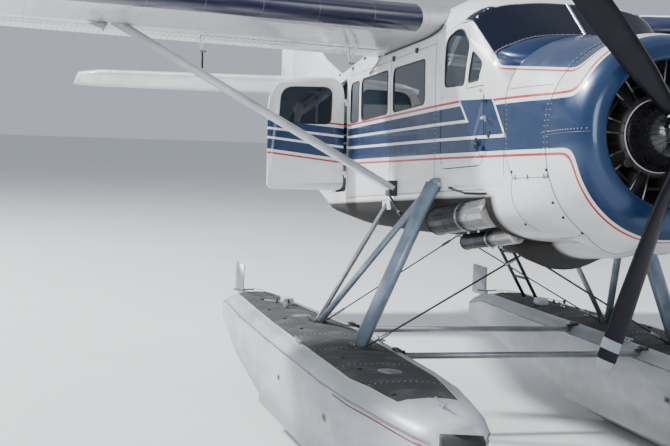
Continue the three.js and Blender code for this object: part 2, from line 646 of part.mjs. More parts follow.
function nose() {
  const blisters = bothSides(solid(loft(BLISTER_SECTIONS.map(({ s, half, zb }) => sectionRing({
    s, w: half, zb, zs: BLISTER.z - BLISTER.side, zr: BLISTER.z + BLISTER.side, zt: BLISTER.top, nl: 2, nu: 2,
  })))).translate([0, BLISTER.y, 0]));
  const under = (s0, s1) => blisters.intersect(block(s0, s1, -600, 600, -900, -300));
  const panels = body(NOSE_SECTIONS, COWL_END_S, FIREWALL_S).add(under(COWL_END_S, FIREWALL_S));
  const chin = body(NOSE_SECTIONS, FIREWALL_S - 2, CHIN_END_S)
    .intersect(block(FIREWALL_S - 10, CHIN_END_S + 10, -1200, 1200, -1200, FLOOR_Z - SEAM));
  place('nose_panels', panels.add(chin), BLUE);
  const ring = solid(loft(COWL_SECTIONS.map((row) => sectionRing(row))));
  const bore = solid(loft(COWL_BORE.map(({ s, r }) => sectionRing({
    s, w: r, zb: -r, zs: -10, zr: 10, zt: r, nl: 2, nu: 2,
  }))));
  place('cowl_ring', ring.add(under(0, COWL_END_S - SEAM)).subtract(bore), BLUE);
}

function engine() {
  const { caseR, front, rear, plate, barrelR, headR, reach, baffleR, tubeR, spread } = ENGINE;
  let motor = turned([[front, 0], [front, caseR - 20], [front + 20, caseR], [rear, caseR], [rear, 0]]);
  motor = motor.add(turned([[rear - plate, 0], [rear - plate, baffleR], [rear, baffleR], [rear, 0]]));
  for (let i = 0; i < CYLINDERS; i += 1) {
    const a = (i / CYLINDERS) * 2 * Math.PI;
    const out = new THREE.Vector3(0, Math.sin(a), Math.cos(a));
    const middle = at((front + rear - plate) / 2, 0, 0);
    const point = (r) => middle.clone().addScaledVector(out, r);
    motor = motor.add(rod(point(caseR - 30), point(reach - 130), barrelR, 14));
    motor = motor.add(rod(point(reach - 150), point(reach), headR, 14, headR - 25));
    for (const turn of [-1, 1]) {
      const dir = new THREE.Vector3(0, Math.sin(a + turn * spread), Math.cos(a + turn * spread));
      const foot = at(front + tubeR, 0, 0).addScaledVector(dir, caseR - 30);
      const head = at(front + 4 * tubeR, 0, 0).addScaledVector(dir, reach - 60);
      motor = motor.add(rod(foot, head, tubeR, 6));
    }
  }
  place('engine', motor, STEEL);
  const rim = front - SEAM;
  place('gear_case', turned([
    [96, 0], [96, 70], [108, 112], [150, 160], [215, 196], [290, 221], [372, 235], [372, 246], [rim, 246], [rim, 0],
  ]), BLACK);
}

/** Blade drawn straight down from the hub and swung to its place about the shaft. */
function blade(angle) {
  const sides = 12;
  const rings = BLADE_SECTIONS.map(({ r, chord, thick, twist }) => Array.from({ length: sides }, (_, i) => {
    const a = (i / sides) * 2 * Math.PI;
    const u = (Math.cos(a) * chord) / 2;
    const v = (Math.sin(a) * thick) / 2;
    const t = twist * DEGREE;
    return new THREE.Vector3(v * Math.cos(t) - u * Math.sin(t), u * Math.cos(t) + v * Math.sin(t), -r);
  }));
  return solid(loft(rings)).rotate([angle / DEGREE, 0, 0]);
}

function propeller() {
  const socket = BLADE_SECTIONS[0].r - SEAM;
  let hub = turned([
    [-190, 0], [-190, 46], [-182, 58], [-95, 62], [-90, 92], [60, 104], [70, 60], [96 - SEAM, 60], [96 - SEAM, 0],
  ], 24);
  for (let i = 0; i < BLADES; i += 1) {
    const a = -BLADE_ANGLE - (i * 2 * Math.PI) / BLADES;
    const dir = new THREE.Vector3(0, Math.sin(a), -Math.cos(a));
    hub = hub.add(rod(dir.clone().multiplyScalar(40), dir.clone().multiplyScalar(socket), 66, 16));
  }
  place('propeller_hub', hub, POLISH);
  for (let i = 0; i < BLADES; i += 1) {
    place(`blade_${i + 1}`, blade(-BLADE_ANGLE - (i * 2 * Math.PI) / BLADES), BLACK);
  }
}

function underside() {
  const start = CHIN_END_S + SEAM;
  const ahead = block(1400, start, -900, 900, -900, -300);
  const skin = skinBetween(1500, 4700);
  for (const { name, y, z, endY, endZ, endS, r } of EXHAUSTS) {
    const [from, to] = [at(start - 40, y, z), at(endS, endY, endZ)];
    const axis = to.clone().sub(from).normalize();
    const beyond = (d) => to.clone().addScaledVector(axis, d);
    const bore = rod(beyond(-PIPE.open), beyond(1), r - PIPE.wall, 18);
    place(name, rod(from, to, r, 18).subtract(bore).subtract(skin).subtract(ahead), STEEL);
  }
  const scoop = solid(loft(SCOOP_SECTIONS.map((row) => sectionRing({ ...row, ...SCOOP }))));
  const noseSkin = bothSides(body(NOSE_SECTIONS, COWL_END_S, CHIN_END_S + SEAM, -SEAM));
  place('belly_scoop', scoop.subtract(noseSkin).subtract(skin), BLACK);
}

// Wings

/** Plates under the wing and on the flap that meet at the flap's hinge axis, square to it. */
function flapHinges() {
  const { spans, thick, drop, back } = FLAP_HINGE;
  const u = CHORD * WING.hinge + back;
  const v = wingSurface(WING.hinge)[1] * CHORD - drop;
  const plates = (corners, y0) => spans.map((y) => {
    const { x, z } = wingPoint(u, v, y);
    return sidePrism(corners, y0, y0 + thick).rotate([DIHEDRAL / DEGREE, 0, 0]).translate([x, y, z]);
  }).reduce((sum, plate) => sum.add(plate));
  return [plates(FLAP_BRACKET, 0), plates(FLAP_LUG, thick + PIN_GAP)];
}

/** Bodies along the aileron's hinge axis: nose, bay, and the arms, slots, pins and bores of its hinges. */
function aileronHinges() {
  const { spans, x, noseR, bayR, armHalf, armTall, slotHalf, pinR, pinHalf } = AILERON_HINGE;
  const [top, under] = wingSurface(x);
  const axis = (y) => wingPoint(CHORD * x, (CHORD * (top + under)) / 2, y);
  const bar = (y0, y1, r, sides) => rod(axis(y0), axis(y1), r, sides);
  const aft = (y0, y1) => block(-axis(y0).x, WING.leS + CHORD + 200, y0, y1, 500, 2500);
  const [y0, y1] = AILERON_Y;
  const nose = bar(y0, y1, noseR, 48).add(aft(y0, y1));
  const bay = bar(y0 - BAY_END_GAP, y1 + BAY_END_GAP, bayR, 48).add(aft(y0 - BAY_END_GAP, y1 + BAY_END_GAP));
  const parts = spans.map((y) => {
    const { x: px, z } = axis(y);
    const arm = block(-px - bayR - 30, -px + 8, y - armHalf, y + armHalf, z - armTall, z + armTall);
    const slot = block(-px - bayR - 40, -px + 40, y - slotHalf, y + slotHalf, z - 120, z + 120);
    return {
      arm: arm.add(bar(y - pinHalf, y + pinHalf, pinR, 12)),
      slot: slot.add(bar(y - pinHalf - 10, y + pinHalf + 10, pinR + 2 * PIN_GAP, 16)),
    };
  });
  const all = (key) => parts.map((part) => part[key]).reduce((sum, piece) => sum.add(piece));
  return { nose, bay, arms: all('arm'), slots: all('slot') };
}

function wings() {
  const { rootY, hinge, gap, leS } = WING;
  const full = wingProfile(0, 1);
  const whole = solid(loft([
    wingRing(full, rootY), ...TIP_SECTIONS.map(({ y, scale }) => wingRing(full, y, scale)),
  ]));
  const flapBay = block(leS + CHORD * hinge, leS + CHORD + 200, FLAP_Y[0] - DOOR_GAP, AILERON_Y[0], 500, 2500);
  const { nose, bay, arms, slots } = aileronHinges();
  const [flapBrackets, flapLugs] = flapHinges();
  const main = whole.subtract(flapBay).subtract(bay).add(flapBrackets).add(arms);
  const flap = solid(loft(FLAP_Y.map((y) => wingRing(wingProfile(hinge + gap, 1), y)))).add(flapLugs);
  const aileron = solid(loft(AILERON_Y.map((y) => wingRing(full, y)))).intersect(nose).subtract(slots);
  const { s, lowY, lowZ, topY, chord, thick, foot, inner, outer } = LIFT_STRUT;
  const wingSkin = solid(loft([1500, 5000].map((y) => wingRing(full, y, 1.001, SEAM))));
  const strut = fairedStrut(at(s, lowY, lowZ), at(s, topY, wingZ(topY)), chord, thick).subtract(wingSkin);
  const shoe = block(s - foot, s + foot, lowY - inner, lowY + outer, lowZ - foot, lowZ + foot);
  const braced = strut.add(shoe).subtract(skinBetween(3000, 4500));
  for (const [word, side] of SIDES) {
    place(`wing_${word}`, mirrored(main, side), WHITE);
    place(`flap_${word}`, mirrored(flap, side), WHITE);
    place(`aileron_${word}`, mirrored(aileron, side), WHITE);
    place(`lift_strut_${word}`, mirrored(braced, side), WHITE);
  }
}

// Tail

/** Thin tapered section between two chord fractions; make turns station and half-thickness into a point. */
function leafRing(le, te, thick, make, from, to) {
  const chord = te - le;
  const fractions = [0, 0.03, 0.12, 0.3, 0.6, 1].map((t) => from + (to - from) * t);
  const half = (x) => Math.max(thick * chord * 1.9 * Math.sqrt(Math.max(x, 0)) * (1 - x), 4) + 4;
  const blunt = from > 0.05;
  const row = (sign) => fractions.map((x, i) => {
    const nose = i === 0 && blunt ? 0.4 : 1;
    return make(le + chord * x, sign * half(x) * nose);
  });
  return [...row(1), ...row(-1).reverse()];
}

/** Half of the tailplane or elevator between two chord stations, its skin pushed in by inset. */
function tailSurface(from, to, inset) {
  const { z, rootLe, tipLe, rootTe, tipTe, tipY, rootY, thick } = TAIL;
  const rows = [
    { y: rootY - inset * 2, le: rootLe, te: rootTe },
    { y: tipY - 260, le: tipLe - 30, te: tipTe + 30 },
    { y: tipY - inset, le: tipLe + 260, te: tipTe - 150 },
  ];
  return solid(loft(rows.map(({ y, le, te }) => {
    const chord = te - le;
    const shrink = (s, v) => at(s, y, z + Math.sign(v) * Math.max(Math.abs(v) - inset, 1.5));
    const start = from === null ? inset / chord : (from + inset - le) / chord;
    const end = to === null ? 1 - (inset * 4) / chord : (to - inset - le) / chord;
    return leafRing(le, te, thick, shrink, start, end);
  })));
}

function tailplane() {
  const { z, rootY, hingeS, skin, tubeR, axisBack, fixedGap, movingGap, bossHalf } = TAIL;
  const fixedEnd = hingeS - fixedGap;
  const movingStart = hingeS + movingGap;
  const stab = tailSurface(null, fixedEnd, 0).subtract(tailSurface(null, fixedEnd, skin))
    .subtract(bothSides(uprightSurface(FIN_ROWS, -SEAM / 2)));
  const { root, flare, end, back, rib, deep } = RUDDER_SWEEP;
  const sweep = (grow) => planPrism([
    [movingStart - 40, 0], [movingStart - 40, root + grow], [RUDDER_AXIS - back, root + grow], [end, flare + grow],
    [end, 0],
  ], z - deep, z + deep);
  const moving = tailSurface(movingStart, null, 0)
    .subtract(tailSurface(movingStart, null, skin).subtract(sweep(rib)))
    .subtract(sweep(0))
    .subtract(rod(at(hingeS + 150, rootY, z), at(hingeS + 150, rootY + 80, z), DRAIN_R));
  const axis = hingeS + axisBack;
  let elevator = rod(at(axis, -rootY - bossHalf, z), at(axis, rootY + bossHalf, z), tubeR, 16);
  for (const [word, side] of SIDES) {
    place(`tailplane_${word}`, mirrored(stab, side), WHITE);
    elevator = elevator.add(mirrored(moving, side));
  }
  place('elevator', elevator, WHITE);
}

/** Upright surface from rows of height, leading edge, trailing edge and half-thickness. */
function uprightSurface(rows, inset = 0) {
  const shares = [[0, 0.12], [0.12, 0.6], [0.35, 1], [0.7, 0.85], [1, 0.6]];
  const last = rows.length - 1;
  return solid(loft(rows.map(({ z, le, te, half }, i) => {
    const height = z + (i === last ? -inset : 0);
    const points = shares.map(([x, share]) => [
      le + inset * 2 + (te - le - inset * 3) * x, Math.max(half * share - inset, 1.5),
    ]);
    return [
      ...points.map(([s, y]) => at(s, y, height)),
      ...points.slice().reverse().map(([s, y]) => at(s, -y, height)),
    ];
  })));
}

/** Hinge plate that carries the rudder from the post ahead of it. */
function fixedHingePlate(height) {
  const { half, tall } = HINGE_PLATE;
  return block(FIN_REAR - 30, RUDDER_AXIS + 12, -half, half, height - tall, height - PIN_GAP);
}

function finAndRudder() {
  const { z, hingeS, axisBack, boreR, skin, bossHalf } = TAIL;
  const cone = bothSides(body(TAIL_SECTIONS, BULKHEAD_S + SEAM, FIN_REAR, -SEAM));
  const bore = rod(at(hingeS + axisBack, -400, z), at(hingeS + axisBack, 400, z), boreR, 16);
  const boss = rod(at(hingeS + axisBack, -bossHalf, z), at(hingeS + axisBack, bossHalf, z), boreR + 16, 16);
  const hollow = uprightSurface(FIN_ROWS.slice(1), skin + 4).subtract(boss);
  let fin = uprightSurface(FIN_ROWS).subtract(hollow.intersect(block(9400, FIN_REAR - 20, -200, 200, 1150, 3000)));
  let rudder = uprightSurface(RUDDER_ROWS.map((row) => ({ ...row, le: RUDDER_FRONT })));
  fin = fin.add(boss.intersect(block(11000, 12300, -58, 58, 1000, 1700)));
  for (const height of FIN_HINGES) {
    fin = fin.add(fixedHingePlate(height));
  }
  const { half, tall } = HINGE_PLATE;
  for (const height of [CONE_HINGE, ...FIN_HINGES]) {
    rudder = rudder.add(block(RUDDER_AXIS - 12, RUDDER_FRONT + 20, -half, half, height, height + tall));
  }
  const drain = rod(at(FIN_DRAIN_S, 0, 1100), at(FIN_DRAIN_S, 0, 1400), DRAIN_R);
  place('fin', fin.subtract(cone).subtract(bore).subtract(drain), WHITE);
  place('rudder', rudder, WHITE);
}

function tailCone() {
  const outer = body(TAIL_SECTIONS, BULKHEAD_S + SEAM, FIN_REAR);
  const { wall, front, rear, hatchR, hatchZ } = CONE;
  const inner = body(TAIL_SECTIONS, BULKHEAD_S + front, FIN_REAR - rear, wall);
  const hatch = rod(at(BULKHEAD_S - 60, 0, hatchZ), at(BULKHEAD_S + 60, 0, hatchZ), hatchR, 16);
  place('tail_cone', outer.subtract(inner).subtract(hatch).add(fixedHingePlate(CONE_HINGE)), WHITE);
}

// Floats and their bracing, in the level frame

/** Ring of a float hull at one station. */
function hullRing({ t, b, k, c, g, d }) {
  const x = HUB.x + FLOAT.bow - t;
  const { y, shoe, crown, bevel } = FLOAT;
  const half = [[shoe, k], [b, c], [b, g], [b - bevel, d], [b * 0.4, d + crown * 0.8], [0, d + crown]];
  const port = half.map(([u, z]) => new THREE.Vector3(x, y + u, z));
  const starboard = half.slice(0, -1).reverse().map(([u, z]) => new THREE.Vector3(x, y - u, z));
  return [...port, ...starboard];
}

/** Box between corners of the level frame. */
function levelBox(x0, x1, y0, y1, z0, z1) {
  const box = new THREE.BoxGeometry(x1 - x0, y1 - y0, z1 - z0);
  return solid(box.translate((x0 + x1) / 2, (y0 + y1) / 2, (z0 + z1) / 2));
}

function floats() {
  const { y, bow, length } = FLOAT;
  const bowX = HUB.x + bow;
  const sternX = bowX - length;
  const postX = sternX - STERN.postBack;
  const upright = (radius, z0, z1, sides) => rod(
    new THREE.Vector3(postX, y, z0), new THREE.Vector3(postX, y, z1), radius, sides,
  );
  const bracket = levelBox(postX - 34, sternX + 40, y - 30, y + 30, STERN.low, STERN.high)
    .subtract(upright(STERN.boreR, 500, 1000, 16));
  const hull = solid(loft(FOREBODY.map(hullRing))).add(solid(loft(AFTERBODY.map(hullRing)))).add(bracket);
  const drum = new THREE.CylinderGeometry(BUMPER.top, BUMPER.low, BUMPER.tall, 16);
  const bumper = solid(drum.translate(bowX - BUMPER.back, y, BUMPER.z))
    .subtract(levelBox(bowX - 400, bowX + SEAM, y - 200, y + 200, 500, 1000));
  const { long, half, z0, z1, hornZ, hornTall, hornHalf, hornDeep } = PADDLE;
  const paddle = levelBox(postX - long, postX - STERN.postR / 2, y - half, y + half, z0, z1);
  const horn = levelBox(postX - hornDeep, postX + hornDeep, y - hornHalf, y + hornHalf, hornZ, hornZ + hornTall);
  const steering = upright(STERN.postR, STERN.low - 90, hornZ + hornTall, 16).add(paddle).add(horn);
  for (const [word, side] of SIDES) {
    place(`float_${word}`, mirrored(hull, side), GREY, group);
    place(`bow_bumper_${word}`, mirrored(bumper, side), RUBBER, group);
    place(`water_rudder_${word}`, mirrored(steering, side), SILVER, group);
  }
  return hull;
}

function floatBracing(hull) {
  const hulls = bothSides(hull);
  const clearOf = (piece) => piece.subtract(hulls.translate([0, 0, SEAM])).subtract(hulls.translate([0, SEAM, 0]))
    .subtract(hulls.translate([0, -SEAM, 0]));
  BAR_S.forEach((s, i) => {
    const end = (y) => new THREE.Vector3(HUB.x - s, y, BAR.z);
    const bar = fairedStrut(end(BAR.short - FLOAT.y), end(FLOAT.y - BAR.short), BAR.chord, BAR.thick);
    place(`spreader_bar_${i + 1}`, clearOf(bar), SILVER, group);
  });
  const apex = level(APEX.s, APEX.y, APEX.z);
  const pivot = level(REAR_PIVOT.s, REAR_PIVOT.y, REAR_PIVOT.z);
  const foot = (s, shift) => new THREE.Vector3(HUB.x - s + shift, FOOT_Y, FLOAT_DECK);
  const skin = skinBetween(1700, 6500).rotate([0, -PITCH / DEGREE, 0]).translate([HUB.x, 0, HUB.z]);
  const { front, thin, rear, spread, bossR, bossHalf, bossIn } = LEGS;
  const [ahead, behind] = [bossHalf, -bossHalf].map((dx) => apex.clone().add(new THREE.Vector3(dx, -bossIn, 0)));
  const mainLegs = fairedStrut(apex, foot(BAR_S[0], 0), ...front)
    .add(fairedStrut(apex, foot(BAR_S[1], spread), ...thin))
    .add(rod(behind, ahead, bossR, 12));
  const rearLeg = fairedStrut(pivot, foot(BAR_S[1], -spread), ...rear);
  for (const [word, side] of SIDES) {
    place(`main_struts_${word}`, mirrored(clearOf(mainLegs).subtract(skin), side), GREY, group);
    place(`rear_strut_${word}`, mirrored(clearOf(rearLeg).subtract(skin), side), SILVER, group);
  }
  const { topS, topY, topZ, footS, footY, tubeR, rungs } = LADDER;
  const rails = topS.map((s, i) => [
    level(s, topY, topZ), new THREE.Vector3(HUB.x - footS[i], footY, FLOAT_DECK),
  ]);
  let ladder = rails.map(([a, b]) => rod(a, b, tubeR, 10)).reduce((sum, rail) => sum.add(rail));
  for (const t of rungs) {
    const [a, b] = rails.map(([from, to]) => from.clone().lerp(to, t));
    ladder = ladder.add(rod(a, b, tubeR * 0.8, 8));
  }
  place('boarding_ladder', clearOf(ladder).subtract(skin), BLACK, group);
}

// Inside the cabin

/** Cushion and upright back on the cabin floor. */
function seat({ s: [s0, s1, s2], y: [y0, y1], high: [cushion, back] }) {
  const low = FLOOR_Z + SEAM;
  return block(s0, s2, y0, y1, low, cushion).add(block(s1, s2, y0, y1, low, back));
}

function interior() {
  const { aft, half, z: [z0, z1], gap } = PANEL;
  const shelf = body(CABIN_SECTIONS, FIREWALL_S + 1, aft + 200, WALL + gap);
  place('instrument_panel', block(FIREWALL_S + SEAM, aft, -half, half, z0, z1).intersect(shelf), BLACK);
  for (const [word, side] of SIDES) {
    place(`front_seat_${word}`, mirrored(seat(FRONT_SEAT), side), SEAT);
  }
  place('rear_bench', seat(BENCH), SEAT);
}

cabinSides();
cabinRoof();
cabinFloor();
for (const [word, side] of SIDES) {
  door(`cockpit_door_${word}`, side, COCKPIT_DOOR, COCKPIT_WINDOW, COCKPIT_HINGE, 0);
}
door('rear_door_left', 1, REAR_DOOR, REAR_WINDOW, REAR_HINGE, 0);
door('rear_door_right', -1, REAR_DOOR, REAR_WINDOW, REAR_HINGE, REAR_DOOR_OPEN);
nose();
engine();
propeller();
underside();
wings();
tailCone();
tailplane();
finAndRudder();
floatBracing(floats());
interior();

export default group;
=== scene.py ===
"""Looks of a twin-float, high-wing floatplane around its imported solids: paint, seams, rivets, rigging and fittings.

Lengths are metres. The model frame has +X forward, +Y to port and +Z up, with the keels on z = 0.
The fuselage is drawn in its own frame: s runs aft from the propeller's plane and z up from the thrust line.
"""
import json
import logging
import math
from collections.abc import Iterator
from contextlib import contextmanager
from dataclasses import dataclass, field
from enum import Enum
from functools import partialmethod

import bpy
from mathutils import Matrix, Vector
from mathutils.bvhtree import BVHTree

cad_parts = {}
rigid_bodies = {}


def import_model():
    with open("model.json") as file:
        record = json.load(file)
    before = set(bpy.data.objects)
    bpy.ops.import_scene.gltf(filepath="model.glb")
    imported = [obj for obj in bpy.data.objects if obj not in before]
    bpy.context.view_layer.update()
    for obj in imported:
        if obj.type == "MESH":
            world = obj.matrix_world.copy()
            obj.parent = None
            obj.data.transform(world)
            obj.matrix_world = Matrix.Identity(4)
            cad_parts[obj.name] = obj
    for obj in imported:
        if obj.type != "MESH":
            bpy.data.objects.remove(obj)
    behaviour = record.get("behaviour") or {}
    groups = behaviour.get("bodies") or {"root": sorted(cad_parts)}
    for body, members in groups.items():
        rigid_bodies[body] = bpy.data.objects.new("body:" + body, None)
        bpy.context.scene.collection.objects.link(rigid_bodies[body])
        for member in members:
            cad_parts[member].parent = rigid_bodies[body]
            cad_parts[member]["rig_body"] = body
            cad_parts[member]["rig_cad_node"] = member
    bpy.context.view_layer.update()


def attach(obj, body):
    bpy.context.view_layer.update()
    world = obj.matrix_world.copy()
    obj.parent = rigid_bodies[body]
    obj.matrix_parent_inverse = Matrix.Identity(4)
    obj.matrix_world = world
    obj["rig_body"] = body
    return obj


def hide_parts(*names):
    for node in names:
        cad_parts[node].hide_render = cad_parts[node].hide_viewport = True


log = logging.getLogger("floatplane")

Socket = bpy.types.NodeSocket
Piece = bpy.types.Object
Material = bpy.types.Material

PITCH = math.radians(4.16)
DIHEDRAL = math.radians(2.0)
INCIDENCE = math.radians(2.5)
HUB = Vector((6.33115, 0.0, 2.8))
FORWARD = Vector((math.cos(PITCH), 0.0, math.sin(PITCH)))
UPWARD = Vector((-math.sin(PITCH), 0.0, math.cos(PITCH)))
ACROSS = Vector((0.0, 1.0, 0.0))
UP = Vector((0.0, 0.0, 1.0))
TILT = Matrix.Rotation(-PITCH, 4, "Y")
REAR_DOOR_OPEN = math.radians(92.0)
REAR_HINGE_S, REAR_HINGE_Y = 5.6, 0.838
SIDES = (("left", 1), ("right", -1))


class Slot(Enum):
    """Material slots of the record."""

    WHITE = "white_paint"
    BLUE = "blue_paint"
    BLACK = "black_paint"
    FLOAT = "float_grey_paint"
    ENGINE = "engine_metal"
    EXHAUST = "exhaust_steel"
    BARE = "bare_aluminium"
    GLASS = "window_glass"
    PLASTIC = "black_plastic"
    SEAT = "seat_leather"
    RUBBER = "black_rubber"


def fus(s: float, y: float, z: float) -> Vector:
    """Point of the fuselage frame in the model frame."""
    return HUB - FORWARD * s + ACROSS * y + UPWARD * z


def spoke(angle: float) -> Vector:
    """Direction across the fuselage at an angle from straight up towards port."""
    return ACROSS * math.sin(angle) + UPWARD * math.cos(angle)


def circle(count: int) -> list[float]:
    """Angles at even steps round a full turn."""
    return [2.0 * math.pi * k / count for k in range(count)]


def rear_door_turn() -> Matrix:
    """Turn that swings the closed starboard rear door to where it stands open."""
    post = fus(REAR_HINGE_S, -REAR_HINGE_Y, 0.0)
    swing = Matrix.Rotation(REAR_DOOR_OPEN, 4, UPWARD)
    return Matrix.Translation(post) @ swing @ Matrix.Translation(-post)


# Finishes


class Graph:
    """Short way to write a material's nodes."""

    def __init__(self, name: str) -> None:
        """Starts an empty material with an output and a principled shader."""
        self.material = bpy.data.materials.new(name)
        self.material.use_nodes = True
        self.nodes = self.material.node_tree.nodes
        self.links = self.material.node_tree.links
        self.nodes.clear()
        self.shader = self.nodes.new("ShaderNodeBsdfPrincipled")
        out = self.nodes.new("ShaderNodeOutputMaterial")
        self.links.new(self.shader.outputs["BSDF"], out.inputs["Surface"])
        self.place = self.nodes.new("ShaderNodeTexCoord").outputs["Object"]

    def feed(self, socket: Socket, value: object) -> None:
        """Links a socket or sets its value."""
        if isinstance(value, Socket):
            self.links.new(value, socket)
        elif isinstance(value, (int, float)):
            socket.default_value = value
        else:
            size = len(socket.default_value)
            socket.default_value = (tuple(value) + (1.0,))[:size]

    def math(self, operation: str, a: object, b: object = 0.0, c: object = 0.0) -> Socket:
        """Result of one math node."""
        node = self.nodes.new("ShaderNodeMath")
        node.operation = operation
        for socket, value in zip(node.inputs, (a, b, c)):
            self.feed(socket, value)
        return node.outputs[0]

    plus = partialmethod(math, "ADD")
    less = partialmethod(math, "SUBTRACT")
    times = partialmethod(math, "MULTIPLY")
    most = partialmethod(math, "MAXIMUM")
    size = partialmethod(math, "ABSOLUTE")

    def dot(self, axis: Vector, offset: float = 0.0, vector: object = None) -> Socket:
        """Dot product of the place with a fixed axis, plus an offset."""
        node = self.nodes.new("ShaderNodeVectorMath")
        node.operation = "DOT_PRODUCT"
        self.feed(node.inputs[0], vector or self.place)
        node.inputs[1].default_value = tuple(axis)
        return self.plus(node.outputs["Value"], offset)

    def station(self, vector: object = None) -> Socket:
        """Fuselage station s of the place."""
        return self.dot(-FORWARD, FORWARD.dot(HUB), vector)

    def height(self, vector: object = None) -> Socket:
        """Fuselage height z of the place."""
        return self.dot(UPWARD, -UPWARD.dot(HUB), vector)

    def span(self) -> Socket:
        """Distance from the centre plane."""
        return self.size(self.dot(ACROSS))

    def distance(self, centre: Vector) -> Socket:
        """Distance of the place from a fixed point."""
        node = self.nodes.new("ShaderNodeVectorMath")
        node.operation = "DISTANCE"
        self.feed(node.inputs[0], self.place)
        node.inputs[1].default_value = tuple(centre)
        return node.outputs["Value"]

    def remap(self, value: object, low: float, high: float, to_low: float, to_high: float) -> Socket:
        """Value carried from one range to another, held at its ends."""
        node = self.nodes.new("ShaderNodeMapRange")
        self.feed(node.inputs["Value"], value)
        for key, number in (("From Min", low), ("From Max", high), ("To Min", to_low), ("To Max", to_high)):
            node.inputs[key].default_value = number
        return node.outputs["Result"]

    def varied(self, scale: float, low: float, high: float) -> Socket:
        """Noise that wanders between low and high."""
        return self.remap(self.noise(scale), 0.3, 0.7, low, high)

    def step(self, value: object, edge: float, soft: float = 0.0012) -> Socket:
        """0 below the edge and 1 above it."""
        return self.remap(value, edge - soft, edge + soft, 0.0, 1.0)

    def below(self, value: object, edge: float, soft: float = 0.0012) -> Socket:
        """1 below the edge and 0 above it."""
        return self.remap(value, edge - soft, edge + soft, 1.0, 0.0)

    def inside(self, value: object, low: float, high: float, soft: float = 0.0012) -> Socket:
        """1 between low and high, 0 outside."""
        return self.less(self.step(value, low, soft), self.step(value, high, soft))

    def wave(self, value: object, pitch: float) -> Socket:
        """Sine of a length, from -1 to 1 with the given pitch."""
        return self.math("SINE", self.times(value, 2.0 * math.pi / pitch))

    def near(self, value: object, pitch: float, half: float, soft: float) -> Socket:
        """1 within half of each multiple of pitch."""
        part = self.math("PINGPONG", value, pitch / 2.0)
        return self.below(part, half, soft)

    def blend(self, factor: object, a: object, b: object) -> Socket:
        """Number a blended to number b."""
        return self.math("MULTIPLY_ADD", factor, self.less(b, a), a)

    def mix(self, factor: object, a: object, b: object) -> Socket:
        """Colour a blended to colour b."""
        node = self.nodes.new("ShaderNodeMix")
        node.data_type = "RGBA"
        self.feed(node.inputs[0], factor)
        self.feed(node.inputs[6], a)
        self.feed(node.inputs[7], b)
        return node.outputs[2]

    def noise(self, scale: float, detail: float = 4.0, stretch: tuple = (1.0, 1.0, 1.0)) -> Socket:
        """Noise between 0 and 1 on the piece's own coordinates."""
        mapping = self.nodes.new("ShaderNodeMapping")
        self.feed(mapping.inputs["Vector"], self.place)
        mapping.inputs["Scale"].default_value = stretch
        node = self.nodes.new("ShaderNodeTexNoise")
        self.links.new(mapping.outputs[0], node.inputs["Vector"])
        node.inputs["Scale"].default_value = scale
        node.inputs["Detail"].default_value = detail
        return node.outputs["Fac"]

    def bump(self, height: object, distance: float, strength: float = 1.0) -> None:
        """Adds a bump to the shader's normal."""
        node = self.nodes.new("ShaderNodeBump")
        node.inputs["Distance"].default_value = distance
        node.inputs["Strength"].default_value = strength
        self.feed(node.inputs["Height"], height)
        self.links.new(node.outputs["Normal"], self.shader.inputs["Normal"])

    def set(self, **values: object) -> None:
        """Sets or links sockets of the shader by their names with underscores for spaces."""
        for key, value in values.items():
            self.feed(self.shader.inputs[key.replace("_", " ")], value)


WHITE = (0.80, 0.81, 0.82)
PAINT_BLUE = (0.011, 0.038, 0.112)
NAVY = (0.003, 0.007, 0.045)
STRIPE_RED = (0.42, 0.022, 0.03)
# Grey that the white takes for dirt, and low on the fuselage for painted shade.
GRIME_AND_SHADE = (0.56, 0.56, 0.55)
# Near-black of the belly, for oil and for painted shade under it.
OIL_AND_SHADE = (0.024, 0.022, 0.021)
SOOT = (0.012, 0.011, 0.010)
SEAM_GREY = (0.30, 0.31, 0.32)


@dataclass(frozen=True)
class Plain:
    """Finish of one colour with soft patches, fine grain and roughness that changes over the surface."""

    name: str
    colour: tuple[float, float, float]
    roughness: float = 0.4
    metallic: float = 0.0
    coat: float = 0.0
    worn: tuple[float, float, float] | None = None
    patch: float = 3.0
    stretch: tuple[float, float, float] = (1.0, 1.0, 1.0)
    grain: float = 60.0
    relief: float = 0.0004

    def build(self) -> Material:
        """Material of this finish."""
        g = Graph(self.name)
        worn = self.worn or tuple(c * 0.82 for c in self.colour)
        patches = g.remap(g.noise(self.patch, 5.0, self.stretch), 0.38, 0.68, 0.0, 1.0)
        g.set(Base_Color=g.mix(patches, self.colour, worn))
        rough = g.varied(self.patch * 4.0, self.roughness * 0.85, min(self.roughness * 1.2, 1.0))
        g.set(Roughness=rough, Metallic=self.metallic, Coat_Weight=self.coat, Coat_Roughness=0.06)
        g.bump(g.noise(self.grain, 3.0), self.relief)
        return g.material


